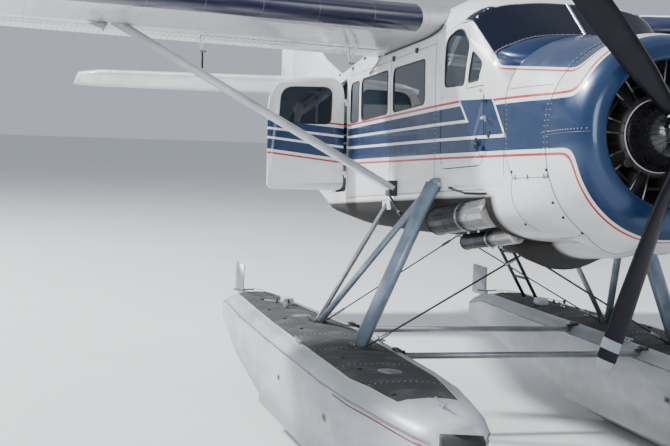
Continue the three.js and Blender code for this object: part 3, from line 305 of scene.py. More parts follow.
@dataclass(frozen=True)
class Livery:
    """White fuselage with blue band, cowl ring and nose-top panel, white and red lines and a belly of oil and painted
    shade.

    A line is (height at the propeller, rise per metre, extra rise per metre aft of tail_s). A cut is a slanting
    end of the blue band: (station, height, run, drop).
    """

    name: str
    open_door: bool = False
    cowl_s: float = 0.285
    panel_s: float = 0.46
    corner: float = 0.16
    panel_aft: float = 1.62
    tail_s: float = 5.5
    cuts: tuple = ((1.487, 0.306, 0.23, 0.287), (2.13, 0.335, 0.155, 0.152))
    tops: tuple = ((0.231, 0.0255, 0.0), (0.2211, 0.0638, 0.0), (0.288, 0.0105, 0.0735))
    lanes: tuple = ((-0.0046, 0.02827, 0.075), (0.139, 0.0223, 0.062))
    foot: tuple = (-0.110, 0.025, 0.086)
    rule: float = 0.0115
    red: tuple = (0.028, 0.047)
    panel_red: tuple = (0.016, 0.029)
    oil_and_shade: tuple = (1.47, -0.40)

    def build(self) -> Material:
        """Material of this finish."""
        g = Graph(self.name)
        place = g.place
        if self.open_door:
            back = rear_door_turn().inverted()
            mapping = g.nodes.new("ShaderNodeMapping")
            g.links.new(place, mapping.inputs["Vector"])
            mapping.inputs["Rotation"].default_value = back.to_euler("XYZ")
            mapping.inputs["Location"].default_value = back.translation
            place = mapping.outputs[0]
        s, z = g.station(place), g.height(place)
        aft = g.most(g.less(s, self.tail_s), 0.0)
        cuts = [self.slant(g, s, z, cut) for cut in self.cuts]
        ahead, behind = g.below(cuts[0], 0.0), g.step(cuts[1], 0.0)
        fore, middle, rear = (self.line(g, s, aft, row) for row in self.tops)
        top = g.blend(behind, g.blend(ahead, middle, fore), rear)
        above = g.less(z, top)
        below = g.less(self.line(g, s, aft, self.foot), z)
        ring = g.less(s, self.cowl_s)
        band = g.math("SMOOTH_MIN", ring, g.most(above, below), self.corner)
        blue = g.below(band, 0.0)
        edged = g.most(g.most(ahead, behind), g.step(g.less(below, above), 0.0))
        red = g.times(g.inside(band, *self.red), edged)
        for row, cut in zip(self.lanes, cuts):
            lane = g.less(z, self.line(g, s, aft, row))
            rule = g.times(g.below(g.size(lane), self.rule), g.step(cut, 0.0))
            over = g.times(g.step(lane, -self.rule), g.below(above, 0.0))
            edge = g.times(g.below(g.size(cut), self.rule), over)
            blue = g.less(blue, g.most(rule, edge))
        blue = g.most(blue, 0.0)
        panel = self.nose_top(g, s, z)
        blue = g.most(blue, g.below(panel, 0.0))
        red = g.most(red, g.inside(panel, *self.panel_red))
        dirt = g.remap(g.noise(2.2, 6.0, (0.6, 1.0, 1.6)), 0.42, 0.75, 0.0, 1.0)
        # Painted shade: the white greys towards the bottom of the fuselage, on top of the dirt patches.
        low = g.remap(z, -0.75, -0.35, 0.55, 0.0)
        white = g.mix(g.most(g.times(dirt, 0.6), low), WHITE, GRIME_AND_SHADE)
        flake = g.remap(g.noise(900.0, 1.0), 0.3, 0.7, 0.0, 1.0)
        deep = g.mix(flake, PAINT_BLUE, tuple(c * 0.7 for c in PAINT_BLUE))
        # Painted shade and oil: the belly goes black below a height, aft of a station.
        oil_and_shade = g.times(g.below(z, self.oil_and_shade[1], 0.016), g.step(s, self.oil_and_shade[0], 0.05))
        painted = g.mix(oil_and_shade, g.mix(blue, white, deep), OIL_AND_SHADE)
        g.set(Base_Color=g.mix(red, painted, STRIPE_RED))
        g.set(Metallic=g.times(blue, 0.3))
        clean = g.less(1.0, oil_and_shade)
        rough = g.math("MULTIPLY_ADD", oil_and_shade, 0.62, g.varied(9.0, 0.28, 0.38))
        g.set(Roughness=rough, Coat_Weight=g.times(clean, 0.3), Coat_Roughness=0.06)
        g.bump(g.noise(1.6, 2.0), 0.004, 0.3)
        return g.material

    def line(self, g: Graph, s: Socket, aft: Socket, row: tuple) -> Socket:
        """Height of a paint line that rises aft, and steeper towards the tail."""
        base, slope, tail = row
        return g.math("MULTIPLY_ADD", aft, tail, g.math("MULTIPLY_ADD", s, slope, base))

    def slant(self, g: Graph, s: Socket, z: Socket, cut: tuple) -> Socket:
        """Distance aft of a cut, a slanting line that falls forward from its station and height."""
        s0, z0, run, drop = cut
        size = math.hypot(run, drop)
        along = g.times(g.less(s, s0), drop / size)
        return g.math("MULTIPLY_ADD", g.less(z, z0), -run / size, along)

    def nose_top(self, g: Graph, s: Socket, z: Socket) -> Socket:
        """Distance outside the panel on top of the nose, ahead of the windscreen."""
        side = g.less(g.math("MULTIPLY_ADD", s, 0.115, 0.3925), z)
        rear = g.less(g.math("MULTIPLY_ADD", s, 0.694, -0.460), z)
        edge = g.math("SMOOTH_MAX", side, g.times(rear, 0.822), 0.04)
        edge = g.math("SMOOTH_MAX", edge, g.less(self.panel_s, s), 0.2)
        return g.most(edge, g.less(s, self.panel_aft))


@dataclass(frozen=True)
class WingPaint:
    """White wing with a navy leading edge, a pale grey underside and fine chordwise ribs on its moving surfaces."""

    name: str
    ribbed: bool = False
    lead_s: float = 2.604
    navy: float = 0.2
    cuff: float = 0.976
    rib_pitch: float = 0.052
    tail: bool = False
    paint: tuple = (0.74, 0.755, 0.77)
    streaked: tuple = (0.58, 0.60, 0.62)
    rib_shade: tuple = (0.42, 0.44, 0.46)

    def build(self) -> Material:
        """Material of this finish."""
        g = Graph(self.name)
        s = g.station()
        span = g.span()
        streak = g.remap(g.noise(1.4, 6.0, (0.5, 2.6, 1.0)), 0.45, 0.75, 0.0, 1.0)
        colour = g.mix(streak, self.paint, self.streaked)
        height = g.times(g.noise(2.0, 2.0), 0.3)
        if not self.tail:
            navy = g.times(g.below(s, self.lead_s + self.navy), g.step(span, self.cuff))
            colour = g.mix(navy, colour, NAVY)
            lap = g.below(g.size(g.less(s, self.lead_s + self.navy)), 0.004, 0.002)
            height = g.less(height, g.times(lap, 0.5))
        if self.ribbed:
            ribs = g.wave(g.dot(ACROSS), self.rib_pitch)
            height = g.plus(height, g.times(ribs, 0.9))
            # Painted shade: the troughs between the ribs are darkened.
            colour = g.mix(g.remap(ribs, -1.0, -0.3, 0.30, 0.0), colour, self.rib_shade)
        else:
            seam = g.near(span, 0.46, 0.0022, 0.001)
            height = g.less(height, g.times(seam, 0.6))
            colour = g.mix(g.times(seam, 0.5), colour, SEAM_GREY)
        g.set(Base_Color=colour, Roughness=g.varied(6.0, 0.28, 0.42), Coat_Weight=0.35)
        g.set(Coat_Roughness=0.08)
        g.bump(height, 0.004, 0.8)
        return g.material


@dataclass(frozen=True)
class FloatPaint:
    """Pale grey hull with a dark non-skid walkway on deck, water stains and a pale edge to the walkway."""

    name: str
    centre: float = 1.5
    deck: float = 0.912
    half: float = 0.33
    tape: float = 0.022
    reach: tuple = (-0.45, 5.75)
    grey: tuple = (0.50, 0.53, 0.565)
    stained: tuple = (0.36, 0.385, 0.41)
    waterline: tuple = (0.20, 0.215, 0.20)
    tread: tuple = ((0.030, 0.032, 0.036), (0.065, 0.068, 0.072))
    scuffed: tuple = (0.16, 0.16, 0.155)
    edging: tuple = (0.62, 0.58, 0.45)

    def build(self) -> Material:
        """Material of this finish."""
        g = Graph(self.name)
        x = g.dot(Vector((1.0, 0.0, 0.0)))
        z = g.dot(UP)
        off = g.size(g.less(g.span(), self.centre))
        bow = g.remap(x, 4.9, 6.25, 0.0, 0.075)
        stern = g.plus(g.remap(x, -0.47, 2.33, 0.062, 0.0), g.remap(x, -1.12, -0.47, 0.10, 0.0))
        high = g.plus(z, g.plus(bow, stern))
        on_deck = g.step(high, self.deck, 0.004)
        reach = g.times(g.remap(x, -1.12, 2.3, 0.5, 1.0), g.remap(x, 4.9, 6.3, 1.0, 0.42))
        side = g.math("DIVIDE", off, reach)
        length = g.times(g.step(x, self.reach[0]), g.below(x, self.reach[1]))
        walk = g.times(g.times(g.below(side, self.half, 0.002), on_deck), length)
        edge = g.times(g.inside(side, self.half, self.half + self.tape, 0.002), on_deck)
        edge = g.times(edge, length)
        stain = g.remap(g.noise(2.6, 7.0, (0.5, 1.0, 2.4)), 0.4, 0.72, 0.0, 1.0)
        wet = g.remap(g.plus(z, g.times(g.noise(3.0), 0.10)), 0.38, 0.52, 1.0, 0.0)
        hull = g.mix(stain, self.grey, self.stained)
        hull = g.mix(g.times(wet, 0.55), hull, self.waterline)
        grit = g.remap(g.noise(420.0, 2.0), 0.35, 0.65, 0.0, 1.0)
        scuff = g.remap(g.noise(5.0, 6.0), 0.5, 0.75, 0.0, 0.6)
        dark = g.mix(scuff, g.mix(grit, *self.tread), self.scuffed)
        colour = g.mix(walk, g.mix(edge, hull, self.edging), dark)
        g.set(Base_Color=colour, Metallic=0.15)
        g.set(Roughness=g.most(g.varied(8.0, 0.34, 0.5), g.times(walk, 0.85)))
        relief = g.math("MULTIPLY_ADD", g.times(grit, walk), 0.35, g.times(g.noise(2.4, 2.0), 0.5))
        g.bump(relief, 0.003, 0.7)
        return g.material


@dataclass(frozen=True)
class BladePaint:
    """Black blade with pale and black bands at its tip and worn patches."""

    name: str = "blade_enamel"
    bands: tuple[float, float, float] = (1.44, 1.508, 1.576)
    enamel: tuple = ((0.004, 0.004, 0.008), (0.012, 0.012, 0.016))
    pale: tuple = (0.27, 0.29, 0.33)

    def build(self) -> Material:
        """Material of this finish."""
        g = Graph(self.name)
        axial = g.station()
        reach = g.distance(HUB)
        radius = g.math("SQRT", g.less(g.math("POWER", reach, 2.0), g.math("POWER", axial, 2.0)))
        low, middle, high = self.bands
        pale = g.plus(g.inside(radius, low, middle, 0.001), g.step(radius, high, 0.001))
        wear = g.remap(g.noise(7.0, 6.0), 0.5, 0.8, 0.0, 0.7)
        black = g.mix(wear, *self.enamel)
        g.set(Base_Color=g.mix(pale, black, self.pale), Specular_IOR_Level=0.22)
        g.set(Roughness=g.varied(14.0, 0.30, 0.44))
        g.bump(g.noise(240.0, 2.0), 0.0003)
        return g.material


@dataclass(frozen=True)
class PipeSteel:
    """Exhaust steel with a painted highlight near the cowl, blue-grey along its length and sooty at its outlet."""

    name: str = "burnt_steel"
    bright: tuple[float, float] = (1.50, 2.02)
    steel: tuple = ((0.085, 0.092, 0.108), (0.034, 0.036, 0.044))
    painted_highlight: tuple = (0.50, 0.49, 0.48)

    def build(self) -> Material:
        """Material of this finish."""
        g = Graph(self.name)
        s = g.station()
        cloud = g.remap(g.noise(9.0, 6.0, (0.4, 1.0, 1.0)), 0.35, 0.7, 0.0, 1.0)
        colour = g.mix(cloud, *self.steel)
        low, high = self.bright
        # Painted highlight: a pale band along the pipe near the cowl.
        colour = g.mix(g.inside(s, low, high, 0.05), colour, self.painted_highlight)
        colour = g.mix(g.remap(s, 2.5, 2.78, 0.0, 0.9), colour, SOOT)
        g.set(Base_Color=colour, Metallic=0.85, Roughness=g.varied(12.0, 0.3, 0.5))
        g.bump(g.noise(70.0), 0.0006)
        return g.material


@dataclass(frozen=True)
class Pane:
    """Tinted acrylic pane with faint wipe marks; a dark tint that lets little light through is painted shade of the
    inside.
    """

    name: str
    tint_and_shade: tuple[float, float, float]
    passing: float
    shine: float = 0.5

    def build(self) -> Material:
        """Material of this finish."""
        g = Graph(self.name)
        haze = g.remap(g.noise(3.0, 5.0, (1.0, 1.0, 2.0)), 0.45, 0.8, 0.0, 1.0)
        g.set(Base_Color=g.mix(haze, self.tint_and_shade, tuple(c * 1.15 for c in self.tint_and_shade)))
        g.set(Roughness=g.remap(haze, 0.0, 1.0, 0.015, 0.07), IOR=1.49, Transmission_Weight=self.passing)
        g.set(Specular_IOR_Level=self.shine)
        return g.material


class Finishes:
    """Every finish of the aircraft, built once."""

    def __init__(self) -> None:
        """Builds the materials."""
        self.livery = Livery("livery_paint").build()
        self.open_livery = Livery("livery_paint_open_door", open_door=True).build()
        self.wing = WingPaint("wing_paint").build()
        self.ribbed = WingPaint("ribbed_wing_paint", ribbed=True).build()
        self.tail = WingPaint("tail_paint", tail=True).build()
        self.tail_ribbed = WingPaint("ribbed_tail_paint", ribbed=True, tail=True, rib_pitch=0.07).build()
        self.hull = FloatPaint("float_paint").build()
        self.blade = BladePaint().build()
        self.pipe = PipeSteel().build()
        self.pane = Pane("cabin_pane", (0.085, 0.115, 0.145), 0.5).build()
        # The flush panes' dark tint is partly real tint and partly painted shade of the cabin behind them.
        self.tinted_and_shaded = Pane("tinted_pane", (0.020, 0.030, 0.042), 0.30).build()
        # Painted shade: the windscreen is an opaque, near-black sheet standing for the dark cockpit behind it.
        self.screen = Pane("windscreen_pane", (0.004, 0.007, 0.018), 0.0, 0.22).build()
        self.white = Plain("white_enamel", WHITE, 0.3, coat=0.5).build()
        self.black = Plain("black_satin", (0.012, 0.012, 0.014), 0.35).build()
        self.case = Plain("gear_case_enamel", (0.010, 0.010, 0.012), 0.26, coat=0.5, patch=6.0).build()
        self.engine = Plain("engine_enamel", (0.022, 0.022, 0.024), 0.5, 0.4, worn=(0.05, 0.047, 0.044)).build()
        self.chrome = Plain("polished_steel", (0.74, 0.75, 0.77), 0.12, 1.0, patch=14.0).build()
        self.silver = Plain("bare_aluminium", (0.52, 0.53, 0.55), 0.3, 0.9, patch=7.0).build()
        self.dull = Plain("weathered_aluminium", (0.36, 0.38, 0.40), 0.45, 0.7, worn=(0.22, 0.23, 0.24)).build()
        worn = (0.15, 0.19, 0.25)
        self.strut = Plain("strut_enamel", (0.235, 0.30, 0.385), 0.36, 0.25, worn=worn, patch=5.0).build()
        self.pale = Plain("pale_strut_enamel", (0.62, 0.64, 0.67), 0.34, worn=(0.48, 0.50, 0.53), patch=4.0).build()
        self.rubber = Plain("rubber", (0.012, 0.012, 0.012), 0.72, grain=140.0).build()
        self.seal = Plain("window_seal", (0.020, 0.020, 0.021), 0.6, grain=200.0).build()
        self.seam = Plain("seam_shadow", (0.075, 0.08, 0.085), 0.6, grain=200.0).build()
        self.rivet = Plain("painted_rivet", (0.60, 0.61, 0.62), 0.36, grain=300.0).build()
        self.cable = Plain("steel_cable", (0.055, 0.057, 0.06), 0.4, 0.7, grain=400.0).build()
        self.lining = Plain("cabin_lining", (0.115, 0.115, 0.12), 0.8, patch=8.0, grain=300.0).build()
        self.seat = Plain("seat_leather", (0.045, 0.047, 0.055), 0.55, patch=9.0, grain=260.0, relief=0.0012).build()
        self.dial = Plain("dial_face", (0.008, 0.008, 0.009), 0.2, coat=0.8).build()
        self.lamp = Plain("lamp_lens", (0.55, 0.03, 0.02), 0.12, coat=0.8).build()
        self.green = Plain("green_lens", (0.02, 0.35, 0.10), 0.12, coat=0.8).build()


# Bench: shapes worked by hand

WELD = 0.00002


def linked(name: str, data: bpy.types.ID) -> Piece:
    """New object in the scene for some data."""
    obj = bpy.data.objects.new(name, data)
    bpy.context.scene.collection.objects.link(obj)
    return obj


def deselect() -> None:
    """Clears the selection, because operators act on all that is selected."""
    for obj in bpy.context.selected_objects:
        obj.select_set(False)


def take(obj: Piece) -> None:
    """Makes obj the only selected and active object."""
    deselect()
    obj.select_set(True)
    bpy.context.view_layer.objects.active = obj


@contextmanager
def editing(obj: Piece) -> Iterator[None]:
    """Edit mode on obj with all of it selected, and object mode again afterwards."""
    take(obj)
    bpy.ops.object.mode_set(mode="EDIT")
    bpy.ops.mesh.select_all(action="SELECT")
    yield
    bpy.ops.object.mode_set(mode="OBJECT")


def outward(threshold: float = 0.0) -> None:
    """Turns the edited mesh's faces outward, with points closer than the threshold merged."""
    bpy.ops.mesh.select_all(action="SELECT")
    if threshold:
        bpy.ops.mesh.remove_doubles(threshold=threshold)
    bpy.ops.mesh.normals_make_consistent(inside=False)


def settle(obj: Piece) -> Piece:
    """Moves an object's place, turn and scale into its mesh."""
    take(obj)
    bpy.ops.object.transform_apply(location=True, rotation=True, scale=True)
    return obj


def apply(obj: Piece, kind: str, **options: object) -> Piece:
    """Adds one modifier and applies it."""
    take(obj)
    modifier = obj.modifiers.new(kind.lower(), kind)
    for key, value in options.items():
        setattr(modifier, key, value)
    bpy.ops.object.modifier_apply(modifier=modifier.name)
    return obj


def bevel(obj: Piece, width: float, segments: int = 2) -> Piece:
    """Rounds the sharp edges of a piece."""
    return apply(obj, "BEVEL", width=width, segments=segments, limit_method="ANGLE", angle_limit=math.radians(35))


def rod(
    a: Vector, b: Vector, radius: float, end: float | None = None, sides: int = 20, edge: float = 0.0,
) -> Piece:
    """Round bar between two points, tapered when end is given, with its rims bevelled by edge."""
    axis = b - a
    deselect()
    bpy.ops.mesh.primitive_cone_add(
        vertices=sides, radius1=radius, radius2=radius if end is None else end, depth=axis.length,
    )
    obj = bpy.context.active_object
    obj.matrix_world = Matrix.Translation((a + b) / 2) @ axis.to_track_quat("Z", "Y").to_matrix().to_4x4()
    settle(obj)
    return bevel(obj, edge) if edge else obj


def stub(
    place: Vector, out: Vector, low: float, high: float, radius: float, end: float | None = None, sides: int = 6,
    edge: float = 0.001,
) -> Piece:
    """Rod along a direction, from low to high past a place: a bolt, pin or boss, six-sided unless told."""
    return rod(place + out * low, place + out * high, radius, end, sides, edge)


def box(centre: Vector, size: tuple, turn: Matrix | None = None, edge: float = 0.003) -> Piece:
    """Block of a given size with bevelled edges."""
    deselect()
    bpy.ops.mesh.primitive_cube_add(size=1.0)
    obj = bpy.context.active_object
    obj.matrix_world = Matrix.Translation(centre) @ (turn or Matrix.Identity(4)) @ Matrix.Diagonal((*size, 1.0))
    return bevel(settle(obj), edge)


def tubes(name: str, paths: list, radius: float, closed: bool = False, fine: int = 1) -> Piece:
    """Round wires along paths, drawn as one curve and turned into a mesh."""
    curve = bpy.data.curves.new(name, "CURVE")
    curve.dimensions = "3D"
    curve.bevel_depth = radius
    curve.bevel_resolution = fine
    curve.use_fill_caps = True
    for path in paths:
        spline = curve.splines.new("POLY")
        spline.points.add(len(path) - 1)
        for point, place in zip(spline.points, path):
            point.co = (*place, 1.0)
        spline.use_cyclic_u = closed
    take(linked(name, curve))
    bpy.ops.object.convert(target="MESH")
    return bpy.context.active_object


def outline_mesh(points: list, closed: bool) -> Piece:
    """Wire through points."""
    edges = [(i, i + 1) for i in range(len(points) - 1)] + ([(len(points) - 1, 0)] if closed else [])
    mesh = bpy.data.meshes.new("wire")
    mesh.from_pydata([tuple(p) for p in points], edges, [])
    return linked("wire", mesh)


def spun(profile: list, centre: Vector, axis: Vector, steps: int = 48, closed: bool = False) -> Piece:
    """Spins [along, radius] points about an axis through centre."""
    out = axis.orthogonal().normalized()
    obj = outline_mesh([centre + axis * along + out * radius for along, radius in profile], closed)
    with editing(obj):
        bpy.ops.mesh.spin(steps=steps, angle=2.0 * math.pi, center=centre, axis=axis)
        outward(WELD)
    return obj


def slab(points: list, depth: Vector, edge: float = 0.0015) -> Piece:
    """Plate of a flat outline, extruded by depth and bevelled."""
    obj = outline_mesh(points, True)
    with editing(obj):
        bpy.ops.mesh.edge_face_add()
        bpy.ops.mesh.extrude_region_move(TRANSFORM_OT_translate={"value": depth})
        outward()
    return bevel(obj, edge) if edge else obj


def joined(parts: list) -> Piece:
    """One object from several."""
    take(parts[0])
    for part in parts[1:]:
        part.select_set(True)
    if len(parts) > 1:
        bpy.ops.object.join()
    return bpy.context.active_object


def copies(obj: Piece, turns: list) -> Piece:
    """The piece repeated by each transform, every copy with its own mesh, joined with the first."""
    made = []
    for turn in turns:
        twin = obj.copy()
        twin.data = obj.data.copy()
        bpy.context.scene.collection.objects.link(twin)
        twin.matrix_world = turn
        made.append(settle(twin))
    bpy.data.objects.remove(obj)
    return joined(made)


def mirrored(obj: Piece) -> Piece:
    """The piece mirrored to the other side, its faces turned outward again."""
    obj.matrix_world = Matrix.Diagonal((1.0, -1.0, 1.0, 1.0))
    with editing(settle(obj)):
        bpy.ops.mesh.flip_normals()
    return obj


def studs(name: str, spots: list, radius: float = 0.0042, height: float = 0.0016) -> Piece:
    """Low six-sided rivet heads at (place, normal) spots, as one mesh."""
    verts, faces = [], []
    corners = [(math.cos(math.radians(60 * k)), math.sin(math.radians(60 * k))) for k in range(6)]
    for place, normal in spots:
        u = normal.orthogonal().normalized()
        v = normal.cross(u)
        base = len(verts)
        for share, lift in ((1.0, -0.001), (0.62, height)):
            verts += [place + (u * a + v * b) * radius * share + normal * lift for a, b in corners]
        faces += [(base + k, base + (k + 1) % 6, base + 6 + (k + 1) % 6, base + 6 + k) for k in range(6)]
        faces.append(tuple(base + 6 + k for k in range(6)))
        faces.append(tuple(base + k for k in reversed(range(6))))
    mesh = bpy.data.meshes.new(name)
    mesh.from_pydata([tuple(v) for v in verts], [], faces)
    return linked(name, mesh)


def dress(
    obj: Piece, name: str, finish: Material, slot: Slot | None = None, angle: float = 35.0, body: str = "airframe",
) -> Piece:
    """Names a piece, shades it, gives it its finish and lets it ride on a body.

    Args:
        obj: The piece.
        name: Name it gets.
        finish: Material of the piece.
        slot: Material slot of the record, for a new piece; not used.
        angle: Edges sharper than this, in degrees, stay sharp.
        body: Body that it rides on.

    Returns:
        The dressed piece.
    """
    settle(obj)
    obj.name = name
    obj.data.name = name
    bpy.ops.object.shade_smooth_by_angle(angle=math.radians(angle))
    obj.data.materials.clear()
    obj.data.materials.append(finish)
    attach(obj, body)
    log.info("%s: %d faces", name, len(obj.data.polygons))
    return obj


def skin(node: str, finish: Material, angle: float = 34.0, body: str = "airframe") -> Piece:
    """Copies a solid as a merged, smoothly shaded skin that stands for it.

    Args:
        node: Name of the solid.
        finish: Material of the skin.
        angle: Edges sharper than this, in degrees, stay sharp.
        body: Body that it rides on.

    Returns:
        The new piece.
    """
    take(bpy.data.objects[node])
    bpy.ops.object.duplicate()
    obj = bpy.context.active_object
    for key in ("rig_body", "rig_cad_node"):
        if key in obj:
            del obj[key]
    obj.parent = None
    with editing(obj):
        bpy.ops.mesh.remove_doubles(threshold=0.00005)
    dress(obj, f"{node}_skin", finish, None, angle, body)
    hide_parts(node)
    return obj


class Probe:
    """Finds places on the outside of some solids by casting rays at them."""

    def __init__(self, *nodes: str) -> None:
        """Gathers the solids' faces."""
        verts, faces = [], []
        for node in nodes:
            mesh = bpy.data.objects[node].data
            base = len(verts)
            verts += [v.co.copy() for v in mesh.vertices]
            faces += [[base + i for i in polygon.vertices] for polygon in mesh.polygons]
        self.tree = BVHTree.FromPolygons(verts, faces)

    def cast(self, origin: Vector, direction: Vector) -> tuple[Vector, Vector]:
        """Place and outward normal where a ray first meets the solids, or nearest to its origin if it misses."""
        hit, normal, _, _ = self.tree.ray_cast(origin, direction)
        if hit is None:
            hit, normal, _, _ = self.tree.find_nearest(origin)
        return hit, (normal if normal.dot(direction) < 0 else -normal)

    def side(self, s: float, z: float, side: int, reach: float = 1.2) -> tuple[Vector, Vector]:
        """Place on a flank at station s and height z."""
        return self.cast(fus(s, side * reach, z), Vector((0.0, -side, 0.0)))

    def above(self, s: float, y: float) -> tuple[Vector, Vector]:
        """Place on top at station s and offset y."""
        return self.cast(fus(s, y, 3.0), -UPWARD)

    def under(self, s: float, y: float) -> tuple[Vector, Vector]:
        """Place below at station s and offset y."""
        return self.cast(fus(s, y, -3.0), UPWARD)

    def around(self, s: float, angle: float, middle: float = 0.0, reach: float = 1.6) -> tuple[Vector, Vector]:
        """Place on a section at station s, at an angle from straight up towards port."""
        out = spoke(angle)
        return self.cast(fus(s, 0.0, middle) + out * reach, -out)


def rounded(corners: list, steps: int = 5) -> list:
    """Polygon of [u, v, radius] corners with its corners rounded, as points."""
    points = []
    count = len(corners)
    for i, (u, v, radius) in enumerate(corners):
        corner = Vector((u, v))
        before = Vector(corners[i - 1][:2]) - corner
        after = Vector(corners[(i + 1) % count][:2]) - corner
        r = min(radius, before.length * 0.45, after.length * 0.45)
        start = corner + before.normalized() * r
        end = corner + after.normalized() * r
        for k in range(steps + 1):
            t = k / steps
            points.append(start * (1 - t) ** 2 + corner * 2 * t * (1 - t) + end * t * t)
    return points


def grown(corners: list, grow: float) -> list:
    """Outline of [u, v, radius] corners moved outward from its middle by grow."""
    middle = sum((Vector(c[:2]) for c in corners), Vector((0.0, 0.0))) / len(corners)
    moved = []
    for u, v, radius in corners:
        out = Vector((u, v)) - middle
        moved.append((u + math.copysign(grow, out.x), v + math.copysign(grow, out.y), radius + grow))
    return moved


def spaced(points: list, gap: float, closed: bool = False) -> list:
    """Points at even gaps along a path."""
    path = [Vector(p) for p in points] + ([Vector(points[0])] if closed else [])
    out = []
    for a, b in zip(path, path[1:]):
        count = max(1, round((b - a).length / gap))
        out += [a.lerp(b, k / count) for k in range(count)]
    return out if closed else [*out, path[-1]]


# Fuselage


COCKPIT_WINDOW = [
    (2.055, 0.474, 0.04), (2.47, 0.494, 0.05), (2.458, 0.868, 0.08), (2.25, 0.932, 0.12), (2.115, 0.905, 0.08),
    (1.965, 0.79, 0.05),
]
QUARTER_WINDOW = [(1.768, 0.486, 0.025), (1.958, 0.482, 0.025), (1.893, 0.716, 0.025), (1.724, 0.612, 0.04)]
REAR_WINDOW = [(5.76, 0.4, 0.06), (6.29, 0.4, 0.06), (6.27, 0.76, 0.13), (5.75, 0.77, 0.08)]
CABIN_WINDOWS = [
    [(2.99, 0.4, 0.06), (3.92, 0.4, 0.06), (3.92, 0.79, 0.07), (2.99, 0.775, 0.06)],
    [(4.105, 0.4, 0.06), (5.03, 0.4, 0.06), (5.03, 0.805, 0.07), (4.105, 0.795, 0.06)],
    [(5.14, 0.405, 0.05), (5.455, 0.405, 0.05), (5.455, 0.8, 0.07), (5.14, 0.8, 0.05)],
]
SHELL_ROWS = (
    (1.27, 0.772, 0.22, 0.795, 2.2), (1.60, 0.787, 0.47, 0.833, 2.4), (1.99, 0.810, 0.62, 1.14, 3.8),
    (2.60, 0.830, 0.70, 1.30, 3.2),
)
SCREEN_LOW = ((1.603, 0.0), (1.602, 14.5), (1.607, 27.4), (1.60, 43.8), (1.624, 64.0))
SCREEN_HIGH = ((1.973, 0.0), (1.973, 3.1), (1.959, 14.5), (1.965, 33.3), (2.16, 62.8))
HULL_NODES = (
    "cabin_side_left", "cabin_side_right", "cabin_roof", "belly_floor", "nose_skin", "cowl_skin", "tail_cone",
    "cockpit_door_left", "cockpit_door_right", "rear_door_left",
)


